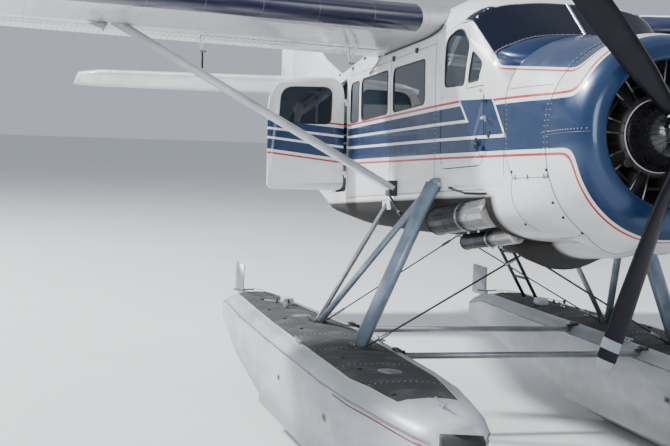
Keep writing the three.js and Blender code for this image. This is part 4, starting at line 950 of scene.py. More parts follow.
@dataclass
class Cabin:
    """Cabin shell with its doors, windows, seals, seams, rivets, vents, handles, steps and seats."""

    finish: Finishes
    probe: Probe
    seal_r: float = 0.0065
    seam_r: float = 0.0026
    lap: float = 0.004
    seat_y: float = 0.33
    wheel_r: float = 0.13
    frames: tuple = (2.70, 4.01, 5.085, 5.53, 6.56)
    vents: tuple = ((3.235, 0.899), (3.937, 0.905), (5.181, 1.039), (5.565, 0.979), (6.919, 1.053))

    def build(self) -> None:
        """Builds the cabin."""
        self.skins()
        for word, side in SIDES:
            self.seals(word, side)
            self.panes(word, side)
            self.seams(word, side)
            self.rivets(word, side)
            self.hardware(word, side)
        self.windscreen()
        self.rod_and_steps()
        self.inside()

    def skins(self) -> None:
        """Skins of the shell, its doors and panes, with a dark lining on the faces that look inward."""
        f = self.finish
        for node in ("cabin_side_left", "cabin_side_right", "cabin_roof", "belly_floor"):
            self.lined(skin(node, f.livery, 38.0))
        for door in ("cockpit_door_left", "cockpit_door_right", "rear_door_left", "rear_door_right"):
            finish = f.open_livery if door == "rear_door_right" else f.livery
            self.lined(skin(door, finish, body=door), door == "rear_door_right")
            skin(f"{door}_glass", f.pane, body=door)
        for node in ("cabin_glass_left", "cabin_glass_right", "quarter_glass_left", "quarter_glass_right"):
            skin(node, f.pane)
        skin("windscreen_glass", f.screen, 60.0)

    def lined(self, obj: Piece, opened: bool = False) -> None:
        """Gives the lining to faces that look towards the cabin's middle."""
        obj.data.materials.append(self.finish.lining)
        back = rear_door_turn().inverted() if opened else Matrix.Identity(4)
        for face in obj.data.polygons:
            place = back @ face.center
            normal = back.to_3x3() @ face.normal
            off = place - HUB
            z = off.dot(UPWARD)
            middle = HUB + FORWARD * off.dot(FORWARD) + UPWARD * min(max(z, -0.2), 0.7)
            inward = middle - place
            if inward.length and normal.dot(inward.normalized()) > 0.35:
                face.material_index = 1

    def on_side(self, points: list, side: int, lift: float = 0.0, opened: bool = False) -> list:
        """Places on a flank for (s, z) points, raised by lift."""
        places = []
        for s, z in points:
            hit, normal = self.probe.side(s, z, 1 if opened else side)
            place = hit + normal * lift
            if opened:
                place = rear_door_turn() @ Vector((place.x, -place.y, place.z))
            places.append(place)
        return places

    def seals(self, word: str, side: int) -> None:
        """Black rubber beads round the windows."""
        for name, _, windows, body, opened in self.glazing(word, side):
            rings = [spaced(rounded(grown(corners, self.lap)), 0.03, True) for corners in windows]
            paths = [self.on_side(ring, side, 0.0, opened) for ring in rings]
            bead = tubes("bead", paths, self.seal_r, True, 2)
            dress(bead, f"{name}_{word}", self.finish.seal, Slot.RUBBER, 60.0, body)

    def glazing(self, word: str, side: int) -> tuple:
        """Windows of one side: (name of their seal, name of their pane, outlines, body, whether it is open)."""
        return (
            ("window_seals", "flush_panes", [QUARTER_WINDOW, *CABIN_WINDOWS], "airframe", False),
            ("cockpit_window_seal", "cockpit_flush_pane", [COCKPIT_WINDOW], f"cockpit_door_{word}", False),
            ("rear_window_seal", "rear_flush_pane", [REAR_WINDOW], f"rear_door_{word}", side < 0),
        )

    def panes(self, word: str, side: int) -> None:
        """Dark panes that lie flush with the skin, tinted and darkened as painted shade of the cabin behind them."""
        for _, name, windows, body, opened in self.glazing(word, side):
            sheet = joined([self.pane(corners, side, opened) for corners in windows])
            dress(sheet, f"{name}_{word}", self.finish.tinted_and_shaded, Slot.GLASS, 20.0, body)

    def pane(self, corners: list, side: int, opened: bool = False) -> Piece:
        """Thin pane over one window."""
        ring = spaced(rounded(grown(corners, self.lap)), 0.04, True)
        inward = rear_door_turn().to_3x3() @ ACROSS if opened else ACROSS * -side
        return slab(self.on_side(ring, side, -0.0015, opened), inward * 0.004, 0.0)

    def seams(self, word: str, side: int) -> None:
        """Thin dark laps between panels."""
        lines = [
            [(1.275, -0.30), (1.275, 0.52)],
            [(2.70, -0.34), (2.70, 0.93)],
            [(4.01, -0.34), (4.01, 0.93)],
            [(5.53, -0.36), (5.53, 0.95)],
            [(6.56, -0.30), (6.56, 0.95)],
            [(1.66, -0.352), (5.5, -0.352)],
            [(2.72, 0.875), (5.45, 0.885)],
        ]
        paths = [self.on_side(spaced(line, 0.05), side) for line in lines]
        dress(tubes("lap", paths, self.seam_r), f"cabin_seams_{word}", self.finish.seam, Slot.WHITE)

    def rivets(self, word: str, side: int) -> None:
        """Rows of rivets beside the seams, along the sills and round the windows."""
        spots = []
        for s in self.frames:
            for shift in (-0.02, 0.02):
                spots += [self.probe.side(s + shift, -0.31 + 0.04 * k, side) for k in range(31)]
        for z in (-0.325, 0.855, 0.915):
            spots += [self.probe.side(2.74 + 0.042 * k, z, side) for k in range(65)]
        for corners in CABIN_WINDOWS:
            ring = spaced(rounded(grown(corners, 0.036)), 0.045, True)
            spots += [self.probe.side(s, z, side) for s, z in ring]
        spots += [self.probe.above(2.62 + 0.06 * k, side * 0.55) for k in range(64)]
        dress(studs("row", spots), f"cabin_rivets_{word}", self.finish.rivet, Slot.WHITE)

    def hardware(self, word: str, side: int) -> None:
        """Half-round vents, grab handle, side plug, and the cockpit door's lock and latches."""
        f = self.finish
        parts = []
        for s, z in self.vents:
            place, normal = self.probe.side(s, z, side)
            fan = [place + normal * 0.004 + FORWARD * 0.034 * math.cos(a) - UPWARD * 0.046 * math.sin(a)
                   for a in (math.pi * k / 12 for k in range(13))]
            parts.append(slab(fan, normal * 0.014, 0.003))
        dress(joined(parts), f"vents_{word}", f.black, Slot.BLACK)
        body = f"cockpit_door_{word}"
        place, normal = self.probe.side(1.595, 0.180, side)
        lever = [stub(place, normal, 0.0, 0.045, 0.014, 0.012, 16, 0.002)]
        lever.append(tubes("grip", [[
            place + normal * 0.042 + FORWARD * x - UPWARD * d
            for x, d in ((-0.012, 0.0), (0.02, -0.004), (0.055, -0.006), (0.078, 0.006), (0.086, 0.034))
        ]], 0.0105, fine=2))
        dress(joined(lever), f"grab_handle_{word}", f.chrome, Slot.BARE)
        place, normal = self.probe.side(1.560, 0.059, side)
        plug = stub(place, normal, -0.004, 0.008, 0.032, 0.027, 24, 0.002)
        dress(plug, f"side_plug_{word}", f.black, Slot.PLASTIC)
        place, normal = self.probe.side(1.775, 0.0, side)
        lock = [stub(place, normal, -0.004, 0.014, 0.017, 0.014, 18, 0.002)]
        hub, arm = place + normal * 0.012, 0.045
        lock.append(tubes("arm", [
            [hub, hub + FORWARD * arm * math.cos(a) + UPWARD * arm * math.sin(a)]
            for a in map(math.radians, (80, 170, 260, 350))
        ], 0.008, fine=2))
        dress(joined(lock), f"door_lock_{word}", f.black, Slot.PLASTIC, body=body)
        clips = []
        for s, z in ((1.715, 0.400), (2.513, 0.407), (1.70, -0.09), (2.52, -0.12)):
            place, normal = self.probe.side(s, z, side)
            clips.append(box(place + normal * 0.004, (0.034, 0.012, 0.02), None, 0.003))
            clips.append(stub(place, normal, 0.0, 0.014, 0.007, 0.005, 12, 0.0))
        dress(joined(clips), f"door_latches_{word}", f.silver, Slot.BARE, body=body)

    def shell_point(self, s: float, angle: float, lift: float) -> Vector:
        """Point on the cabin's upper shell at station s, at an angle from the top, pushed out by lift."""
        rows = SHELL_ROWS
        k = next((k for k in range(1, len(rows) - 1) if s < rows[k][0]), len(rows) - 1)
        share = (s - rows[k - 1][0]) / (rows[k][0] - rows[k - 1][0])
        ends = []
        for _, w, zr, zt, nu in (rows[k - 1], rows[k]):
            y = (w + lift) * math.sin(angle) ** (2.0 / nu)
            ends.append((y, zr + (zt + lift - zr) * math.cos(angle) ** (2.0 / nu)))
        (y0, z0), (y1, z1) = ends
        return fus(s, y0 + (y1 - y0) * share, z0 + (z1 - z0) * share)

    def screen_edge(self, points: tuple, t: float) -> tuple[float, float]:
        """Station and angle at a share t along an edge of the windscreen given in metres and degrees."""
        at = t * (len(points) - 1)
        k = min(int(at), len(points) - 2)
        (s0, a0), (s1, a1) = points[k], points[k + 1]
        return s0 + (s1 - s0) * (at - k), math.radians(max(0.01, a0 + (a1 - a0) * (at - k)))

    def windscreen(self) -> None:
        """Dark glossy windscreen with a bright riveted post, silver edges and screws along its borders."""
        f = self.finish
        across, up = 40, 10
        grid = []
        for i in range(across + 1):
            (s0, a0), (s1, a1) = (self.screen_edge(edge, i / across) for edge in (SCREEN_LOW, SCREEN_HIGH))
            grid.append([(s0 + (s1 - s0) * j / up, a0 + (a1 - a0) * j / up) for j in range(up + 1)])
        for word, side in SIDES:
            places = [[self.shell_point(s, a, 0.0025) for s, a in column] for column in grid]
            deselect()
            bpy.ops.mesh.primitive_grid_add(x_subdivisions=across, y_subdivisions=up, size=2.0)
            sheet = bpy.context.active_object
            for vertex in sheet.data.vertices:
                i, j = round((vertex.co.x + 1.0) / 2.0 * across), round((vertex.co.y + 1.0) / 2.0 * up)
                vertex.co = places[i][j]
            if side < 0:
                sheet = mirrored(sheet)
            apply(sheet, "SOLIDIFY", thickness=0.002, offset=0.0)
            dress(sheet, f"windscreen_{word}", f.screen, Slot.GLASS, 50.0)
            border = [column[0] for column in grid] + grid[-1][1:] + [column[-1] for column in reversed(grid)]
            turn = Vector((1.0, side, 1.0))
            edge = [self.shell_point(s, a, 0.003) * turn for s, a in border]
            trim = tubes("trim", [edge], 0.0045)
            spots = []
            for s, a in border[1::2]:
                place = self.shell_point(s, a, 0.003)
                out = (place - self.shell_point(s, a, -0.05)).normalized()
                spots.append(((place + out * 0.004) * turn, out * turn))
            trim = joined([trim, studs("row", spots, 0.006, 0.003)])
            dress(trim, f"windscreen_trim_{word}", f.dull, Slot.BARE)
        post = [self.shell_point(s, 0.0001, 0.004) for s, _ in grid[0]]
        spots = [(place + UPWARD * 0.011, UPWARD) for place in spaced(post, 0.04)]
        bar = joined([tubes("strip", [post], 0.013, fine=2), studs("row", spots, 0.0055, 0.004)])
        dress(bar, "windscreen_post", f.silver, Slot.BARE, 60.0)

    def rod_and_steps(self) -> None:
        """Rods from the wing to the cabin sides, and the stirrup steps under the cockpit doors."""
        f = self.finish
        for word, side in SIDES:
            stay = [fus(3.736, side * 0.925, 0.985), fus(4.724, side * 0.826, 0.838)]
            end = stub(stay[1], ACROSS * side, -0.012, 0.012, 0.02, 0.016, 16, 0.002)
            piece = joined([tubes("stay", [stay], 0.010, fine=2), end])
            dress(piece, f"aileron_link_{word}", f.silver, Slot.BARE)
            hoop = [fus(s, side * y, z) for s, y, z in (
                (2.28, 0.81, -0.326), (2.26, 0.85, -0.328), (2.04, 0.925, -0.337), (1.66, 0.925, -0.385),
                (1.58, 0.85, -0.388), (1.56, 0.79, -0.386),
            )]
            dress(tubes("hoop", [hoop], 0.0095, fine=2), f"step_hoop_{word}", f.black, Slot.BLACK)

    def inside(self) -> None:
        """Dial panel, yokes and padded seats."""
        f = self.finish
        skin("instrument_panel", f.black)
        rings, faces = [], []
        for row, z in enumerate((0.40, 0.50)):
            for k in range(8):
                centre = fus(1.56, -0.46 + 0.13 * k, z)
                r = 0.044 if row else 0.036
                rim = [(0.0, r), (-0.012, r), (-0.012, r - 0.006), (0.0, r - 0.006)]
                rings.append(spun(rim, centre, FORWARD, 20, True))
                faces.append(stub(centre, -FORWARD, 0.0, 0.005, r - 0.004, sides=20))
        dress(joined(rings), "dial_rings", f.dull, Slot.BARE)
        dress(joined(faces), "dial_faces", f.dial, Slot.PLASTIC)
        for word, side in SIDES:
            y, r = side * self.seat_y, self.wheel_r
            column = [fus(1.60, y, -0.1), fus(1.68, y, 0.28), fus(1.80, y, 0.36)]
            wheel = [fus(1.80, y + r * math.sin(a), 0.36 + r * math.cos(a))
                     for a in (math.radians(40 + 28 * k) for k in range(11))]
            piece = joined([tubes("arm", [column], 0.016, fine=2), tubes("rim", [wheel], 0.013, fine=2)])
            dress(piece, f"yoke_{word}", f.black, Slot.PLASTIC)
            self.seat(f"front_seat_{word}", side * self.seat_y, 0.44, 2.08, 2.56, 0.12)
        self.seat("rear_bench", 0.0, 1.28, 4.65, 5.17, 0.12)

    def seat(self, node: str, y: float, width: float, front: float, rear: float, back: float) -> None:
        """Crowned cushion and back with sewn channels in place of a plain seat solid."""
        cushion = self.pad(fus((front + rear - back) / 2, y, -0.035), rear - back - front, width, 0.13, False)
        rest = self.pad(fus(rear - back / 2, y, 0.31), 0.62, width, back, True)
        base = box(fus((front + rear) / 2, y, -0.225), (rear - front - 0.06, width - 0.06, 0.25), TILT, 0.01)
        dress(base, f"{node}_base", self.finish.black, Slot.PLASTIC)
        for part, piece in (("cushion", cushion), ("back", rest)):
            dress(piece, f"{node}_{part}", self.finish.seat, Slot.SEAT, 180.0)
            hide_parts(node)

    def pad(self, centre: Vector, long: float, wide: float, thick: float, upright: bool) -> Piece:
        """Pillow-shaped pad with crowned faces, drawn-in sides and sewn channels across it."""
        deselect()
        bpy.ops.mesh.primitive_cube_add(size=1.0)
        obj = bpy.context.active_object
        with editing(obj):
            bpy.ops.mesh.subdivide(number_cuts=11)
        for vertex in obj.data.vertices:
            u, v, w = (2.0 * c for c in vertex.co)
            crown = (1.0 - abs(u) ** 4) * (1.0 - abs(v) ** 4)
            sewn = 0.13 * max(0.0, math.cos(3.0 * math.pi * u)) ** 8 * crown
            pull = 0.04 * (1.0 - w * w) * (1.0 - abs(u * v))
            vertex.co = (u * (0.5 - pull * abs(v)), v * (0.5 - pull * abs(u)), w * (0.30 + 0.20 * crown - sewn))
        stand = Matrix.Rotation(math.radians(-90), 4, "Y") if upright else Matrix.Identity(4)
        size = Matrix.Diagonal((long, wide, thick, 1.0))
        obj.matrix_world = Matrix.Translation(centre) @ TILT @ stand @ size
        return apply(settle(obj), "SUBSURF", levels=1, render_levels=1)


# Nose and powerplant


@dataclass
class Nose:
    """Cowl ring and nose panels as smooth sheet metal, with their seams, latches and fasteners."""

    finish: Finishes
    probe: Probe | None = None
    split: float = 0.6395
    joint: float = 0.648
    firewall: float = 1.2695
    chin_z: float = -0.3605
    around: int = 112
    cowl_rows: tuple = (
        (0.16, 0.59, -0.6, -0.015, 0.015, 0.59, 2.0, 2.0), (0.215, 0.64, -0.66, -0.015, 0.015, 0.64, 2.0, 2.0),
        (0.33, 0.684, -0.726, -0.015, 0.015, 0.684, 2.0, 2.0), (0.48, 0.704, -0.766, -0.03, 0.015, 0.704, 2.0, 2.0),
        (0.64, 0.712, -0.79, -0.06, 0.02, 0.712, 2.1, 2.0), (0.95, 0.748, -0.745, -0.13, 0.12, 0.758, 2.9, 2.1),
        (1.27, 0.772, -0.744, -0.19, 0.22, 0.795, 3.4, 2.2), (1.62, 0.788, -0.744, -0.25, 0.48, 0.835, 3.6, 2.4),
    )

    def row(self, s: float) -> tuple:
        """Section values at station s on a smooth curve through the table."""
        rows = self.cowl_rows
        i = max(0, min(len(rows) - 2, next((k for k, r in enumerate(rows) if r[0] > s), len(rows) - 1) - 1))
        a, b = rows[i], rows[i + 1]
        before = rows[i - 1] if i else a
        after = rows[i + 2] if i + 2 < len(rows) else b
        t = (s - a[0]) / (b[0] - a[0])
        out = [s]
        for k in range(1, 8):
            span = b[0] - a[0]
            m0 = (b[k] - before[k]) / (b[0] - before[0]) * span
            m1 = (after[k] - a[k]) / (after[0] - a[0]) * span
            out.append(
                (2 * t**3 - 3 * t**2 + 1) * a[k] + (t**3 - 2 * t**2 + t) * m0 + (3 * t**2 - 2 * t**3) * b[k]
                + (t**3 - t**2) * m1
            )
        return tuple(out)

    def swell(self, s: float, y: float) -> float:
        """How far the two low blisters push the skin down at station s and offset y."""
        along = max(0.0, 1.0 - ((s - 0.64) / 0.31) ** 2)
        aside = max(0.0, 1.0 - ((abs(y) - 0.235) / 0.17) ** 2)
        return 0.042 * along**0.7 * aside

    def ring(self, s: float, inset: float = 0.0) -> list:
        """Points round the section at station s, pushed in by inset."""
        _, w, zb, zs, zr, zt, nl, nu = self.row(s)
        points = []
        for a in circle(self.around):
            c, d = math.sin(a), math.cos(a)
            if d < 0:
                y = (w - inset) * math.copysign(abs(c) ** (2 / nl), c)
                z = zs + (zb + inset - zs) * abs(d) ** (2 / nl)
                z -= self.swell(s, y) * abs(d) if inset == 0 else 0.0
            else:
                y = (w - inset) * math.copysign(abs(c) ** (2 / nu), c)
                z = zr + (zt - inset - zr) * abs(d) ** (2 / nu)
            points.append(fus(s, y, z))
        return points

    def shell(self, rings: list) -> Piece:
        """Closed skin through rings that run round and back, wrapped from a flat grid."""
        around = len(rings[0])
        deselect()
        bpy.ops.mesh.primitive_grid_add(x_subdivisions=len(rings), y_subdivisions=around, size=2.0)
        obj = bpy.context.active_object
        for vertex in obj.data.vertices:
            i = round((vertex.co.x + 1.0) / 2.0 * len(rings)) % len(rings)
            j = round((vertex.co.y + 1.0) / 2.0 * around) % around
            vertex.co = rings[i][j]
        with editing(obj):
            outward(WELD)
        return obj

    def round_ring(self, s: float, radius: float) -> list:
        """Circle about the thrust line."""
        return [fus(s, radius * math.sin(a), radius * math.cos(a)) for a in circle(self.around)]

    def skins(self) -> None:
        """Builds the sheet metal."""
        self.cowl()
        self.panels()

    def details(self, probe: Probe) -> None:
        """Adds what lies on the sheet metal."""
        self.probe = probe
        self.seams()
        self.fasteners()

    def cowl(self) -> None:
        """Cowl ring with a rounded lip."""
        lip = [(0.175, 0.4885), (0.156, 0.494), (0.145, 0.506), (0.1405, 0.522), (0.1415, 0.540), (0.147, 0.562)]
        inside = [(self.split, 0.66), (0.40, 0.65), (0.29, 0.64), (0.225, 0.56)]
        stations = [0.156, 0.170, 0.19, 0.215, 0.25, 0.29, 0.33, 0.38, 0.43, 0.48, 0.53, 0.585, self.split]
        rings = [self.round_ring(s, r) for s, r in lip]
        rings += [self.ring(s) for s in stations]
        rings += [self.round_ring(s, r) for s, r in inside]
        piece = dress(self.shell(rings), "cowl_skin", self.finish.livery, Slot.BLUE, 50.0)
        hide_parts("cowl_ring")

    def panels(self) -> None:
        """Nose panels back to the firewall, with the chin that runs on under the cabin."""
        front, rear = self.split + 0.001, self.firewall
        rings = [self.ring(front + (rear - front) * k / 12) for k in range(13)]
        rings += [self.ring(s, 0.03) for s in (rear, 1.0, 0.82, front)]
        nose = self.shell(rings)
        rings = [self.ring(1.2690 + 0.351 * k / 7) for k in range(8)]
        rings += [self.ring(s, 0.03) for s in (1.62, 1.44, 1.269)]
        chin = self.shell(rings)
        with editing(chin):
            bpy.ops.mesh.bisect(
                plane_co=fus(1.3, 0.0, self.chin_z), plane_no=UPWARD, use_fill=True, clear_outer=True,
            )
        piece = dress(joined([nose, chin]), "nose_skin", self.finish.livery, Slot.BLUE, 50.0)
        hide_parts("nose_panels")

    def along(self, points: list, side: int) -> list:
        """Places on a flank along (s, z) points."""
        return [self.probe.side(s, z, side)[0] for s, z in spaced(points, 0.03)]

    def seams(self) -> None:
        """Dark joints round the cowl, down the nose and along its hinge lines."""
        ring = [self.probe.around(self.joint, a, -0.05)[0] for a in circle(120)]
        dress(tubes("joint", [ring], 0.0034, True), "cowl_joint", self.finish.seam, Slot.BLUE)
        paths = []
        for side in (-1, 1):
            paths += [
                self.along([(0.17, 0.0), (0.64, 0.0)], side),
                self.along([(1.262, 0.50), (1.262, 0.36), (1.26, 0.0), (1.25, -0.12), (1.17, -0.22), (1.12, -0.285),
                            (1.15, -0.33), (1.16, -0.45), (1.13, -0.56), (1.09, -0.66)], side),
                self.along([(0.65, -0.285), (1.12, -0.285)], side),
                self.along([(1.237, 0.366), (0.70, 0.355)], side),
            ]
            paths.append([self.probe.under(s, side * 0.42)[0] for s in (0.66 + 0.05 * k for k in range(9))])
        dress(tubes("joint", paths, 0.0026), "nose_joints", self.finish.seam, Slot.WHITE)

    def fasteners(self) -> None:
        """Rivets beside the joints and dark quarter-turn latches on the lower nose."""
        f = self.finish
        spots = []
        for side in (-1, 1):
            spots += [self.probe.side(0.19 + 0.03 * k, 0.022, side) for k in range(16)]
            spots += [self.probe.side(1.24, -0.1 + 0.035 * k, side) for k in range(18)]
            spots += [self.probe.side(1.237 - 0.04 * k, 0.372, side) for k in range(14)]
        for shift in (-0.022, 0.024):
            # The ray of the lowest rivet runs along an edge of the skin, and circle(120) would tilt that rivet
            spots += [self.probe.around(self.joint + shift, math.radians(3.0 * k), -0.05) for k in range(120)]
        dress(studs("row", spots, 0.0045, 0.0018), "nose_rivets", f.rivet, Slot.WHITE)
        clips, hinge = [], []
        latches = ((1.135, -0.238), (0.66, -0.238), (1.15, -0.61), (0.70, -0.46), (0.69, -0.56), (0.66, -0.665))
        for side in (-1, 1):
            for s, z in latches:
                place, normal = self.probe.side(s, z, side)
                clips.append(stub(place, normal, -0.002, 0.007, 0.013, 0.010, 14, 0.002))
            for s in (0.66, 0.70, 0.90, 1.08):
                place, normal = self.probe.side(s, -0.278, side)
                hinge.append(box(place + normal * 0.003, (0.012, 0.010, 0.034), None, 0.002))
        dress(joined(clips), "quarter_turn_latches", f.black, Slot.BLACK)
        dress(joined(hinge), "nose_hinge_tabs", f.dull, Slot.BARE)


@dataclass
class Engine:
    """Radial engine seen through the cowl: finned cylinders, push-rod tubes, gear case and its bright ring."""

    finish: Finishes
    cylinders: int = 9
    front: float = 0.40
    rear: float = 0.6395
    spread: float = 0.13
    rod_radii: tuple = (0.255, 0.560)
    harness_r: float = 0.36

    def build(self) -> None:
        """Builds the engine and its exhausts."""
        f = self.finish
        skin("engine", f.engine)
        skin("gear_case", f.case, 50.0)
        self.fins()
        self.push_rods()
        self.case_details()
        self.exhausts()

    def turns(self) -> list:
        """Transforms that carry the top cylinder to each place round the shaft."""
        move, back = Matrix.Translation(HUB), Matrix.Translation(-HUB)
        return [move @ Matrix.Rotation(a, 4, FORWARD) @ back for a in circle(self.cylinders)]

    def fins(self) -> None:
        """Cooling fins round each barrel and head, with rocker boxes on the heads."""
        centre = fus((self.front + self.rear - 0.034) / 2, 0.0, 0.0)
        profile = []
        for k in range(22):
            r = 0.288 + 0.0135 * k
            fin = 0.088 if r < 0.46 else 0.103
            profile += [(r, fin - 0.014), (r + 0.004, fin), (r + 0.006, fin), (r + 0.010, fin - 0.014)]
        barrel = spun(profile, centre, UPWARD, 20)
        rockers = []
        for side in (-1, 1):
            spot = centre + UPWARD * 0.598 + ACROSS * side * 0.05 + FORWARD * 0.03
            rockers.append(box(spot, (0.09, 0.05, 0.06), None, 0.012))
        piece = copies(joined([barrel, *rockers]), self.turns())
        dress(piece, "cylinder_fins", self.finish.engine, Slot.ENGINE, 25.0)

    def push_rods(self) -> None:
        """Thin push-rod tubes that run from the gear case's ring to the rocker boxes."""
        rods, cups = [], []
        for a in circle(self.cylinders):
            for turn in (-1, 1):
                out = spoke(a + turn * self.spread)
                foot = fus(self.front + 0.009, 0.0, 0.0) + out * self.rod_radii[0]
                head = fus(self.front + 0.030, 0.0, 0.0) + out * self.rod_radii[1]
                rods.append([foot, head])
                cups.append(stub(foot, out, -0.004, 0.026, 0.012, 0.0095, 12, 0.002))
                cups.append(stub(head, out, -0.03, 0.012, 0.0095, 0.013, 12, 0.002))
        dress(tubes("tube", rods, 0.0068, fine=2), "push_rod_tubes", self.finish.dull, Slot.BARE)
        dress(joined(cups), "push_rod_cups", self.finish.engine, Slot.ENGINE)

    def case_details(self) -> None:
        """Pale ring and faint ribs on the gear case, two round fittings beside it and the ignition harness."""
        f = self.finish
        centre = fus(0.392, 0.0, 0.0)
        # Painted reflection: the chrome ring gets a pale enamel, so it looks bright from every side.
        ring = spun([(-0.006, 0.247), (0.0, 0.253), (0.006, 0.247), (0.0, 0.241)], centre, FORWARD, 96, True)
        dress(ring, "gear_case_ring", f.pale, Slot.BARE, 60.0)
        profile = ((0.110, 0.114), (0.150, 0.159), (0.215, 0.195), (0.290, 0.220), (0.368, 0.234))
        ribs = [[fus(s, 0.0, 0.0) + spoke(a) * r for s, r in profile] for a in circle(27)]
        dress(tubes("rib", ribs, 0.0032), "gear_case_ribs", f.case, Slot.BLACK)
        parts = []
        for a, r in ((math.radians(231), 0.30), (math.radians(112), 0.31)):
            spot = fus(self.front - 0.004, 0.0, 0.0) + spoke(a) * r
            parts.append(stub(spot, FORWARD, -0.03, 0.028, 0.036, 0.032, 24, 0.004))
            parts.append(stub(spot, FORWARD, 0.0, 0.04, 0.018, 0.015, 6, 0.002))
        dress(joined(parts), "governor_fittings", f.engine, Slot.ENGINE)
        harness = [fus(0.46, 0.0, 0.0) + spoke(a) * self.harness_r for a in circle(90)]
        dress(tubes("loop", [harness], 0.012, True, 2), "ignition_harness", f.engine, Slot.ENGINE)

    def exhausts(self) -> None:
        """Exhaust pipes with their clamps and rolled outlets, and the scoop under the belly."""
        f = self.finish
        clamps, lips = [], []
        for name, start, end, r in (
            ("exhaust_upper", (1.5805, -0.70, -0.515), (2.78, -0.745, -0.59), 0.118),
            ("exhaust_lower", (1.6205, -0.52, -0.69), (2.70, -0.53, -0.76), 0.066),
        ):
            skin(name, f.pipe, 30.0)
            a, b = fus(*start), fus(*end)
            axis = (b - a).normalized()
            for share in (0.30, 0.47):
                spot = a.lerp(b, share)
                strap = [(-0.012, r), (-0.012, r + 0.005), (0.012, r + 0.005), (0.012, r)]
                clamps.append(spun(strap, spot, axis, 40))
                clamps.append(box(spot - UPWARD * (r + 0.012), (0.03, 0.014, 0.02), None, 0.003))
            lip = [(0.006 * math.cos(t), r - 0.003 + 0.006 * math.sin(t)) for t in circle(8)]
            lips.append(spun(lip, b, axis, 40, True))
        dress(joined(clamps), "exhaust_clamps", f.silver, Slot.EXHAUST)
        dress(joined(lips), "exhaust_lips", f.pipe, Slot.EXHAUST, 60.0)
        skin("belly_scoop", f.livery, 60.0)


@dataclass
class Propeller:
    """Three blades in a polished hub."""

    finish: Finishes
    angle: float = math.radians(20.3)

    def build(self) -> None:
        """Builds the propeller."""
        f = self.finish
        for k in range(3):
            skin(f"blade_{k + 1}", f.blade, 60.0, "propeller")
        skin("propeller_hub", f.silver, body="propeller")
        clamps, bolts = [], []
        collar = [(0.098, 0.066), (0.098, 0.079), (0.106, 0.083), (0.124, 0.083), (0.1295, 0.078), (0.1295, 0.055)]
        band = [(0.165, 0.060), (0.165, 0.066), (0.178, 0.066), (0.178, 0.060)]
        for k in range(3):
            a = -self.angle - k * 2.0 * math.pi / 3.0
            out = ACROSS * math.sin(a) - UPWARD * math.cos(a)
            aside = out.cross(FORWARD)
            clamps.append(spun(collar, HUB, out, 40))
            clamps.append(spun(band, HUB, out, 40, True))
            for turn in (-1, 1):
                lug = HUB + out * 0.112 + aside * turn * 0.083
                clamps.append(stub(lug, FORWARD, -0.035, 0.035, 0.014, sides=18, edge=0.003))
                bolts.append(stub(lug, FORWARD, -0.048, 0.048, 0.008))
        dress(joined(clamps), "blade_clamps", f.chrome, Slot.BARE, body="propeller")
        dress(joined(bolts), "clamp_bolts", f.dull, Slot.BARE, body="propeller")
        dome = spun(
            [(0.191, 0.0), (0.191, 0.020), (0.190, 0.034), (0.185, 0.047), (0.170, 0.0595), (0.150, 0.063),
             (0.100, 0.0655), (0.097, 0.062)], HUB, FORWARD, 40,
        )
        dress(dome, "hub_dome", f.chrome, Slot.BARE, 50.0, "propeller")


# Wings and tail


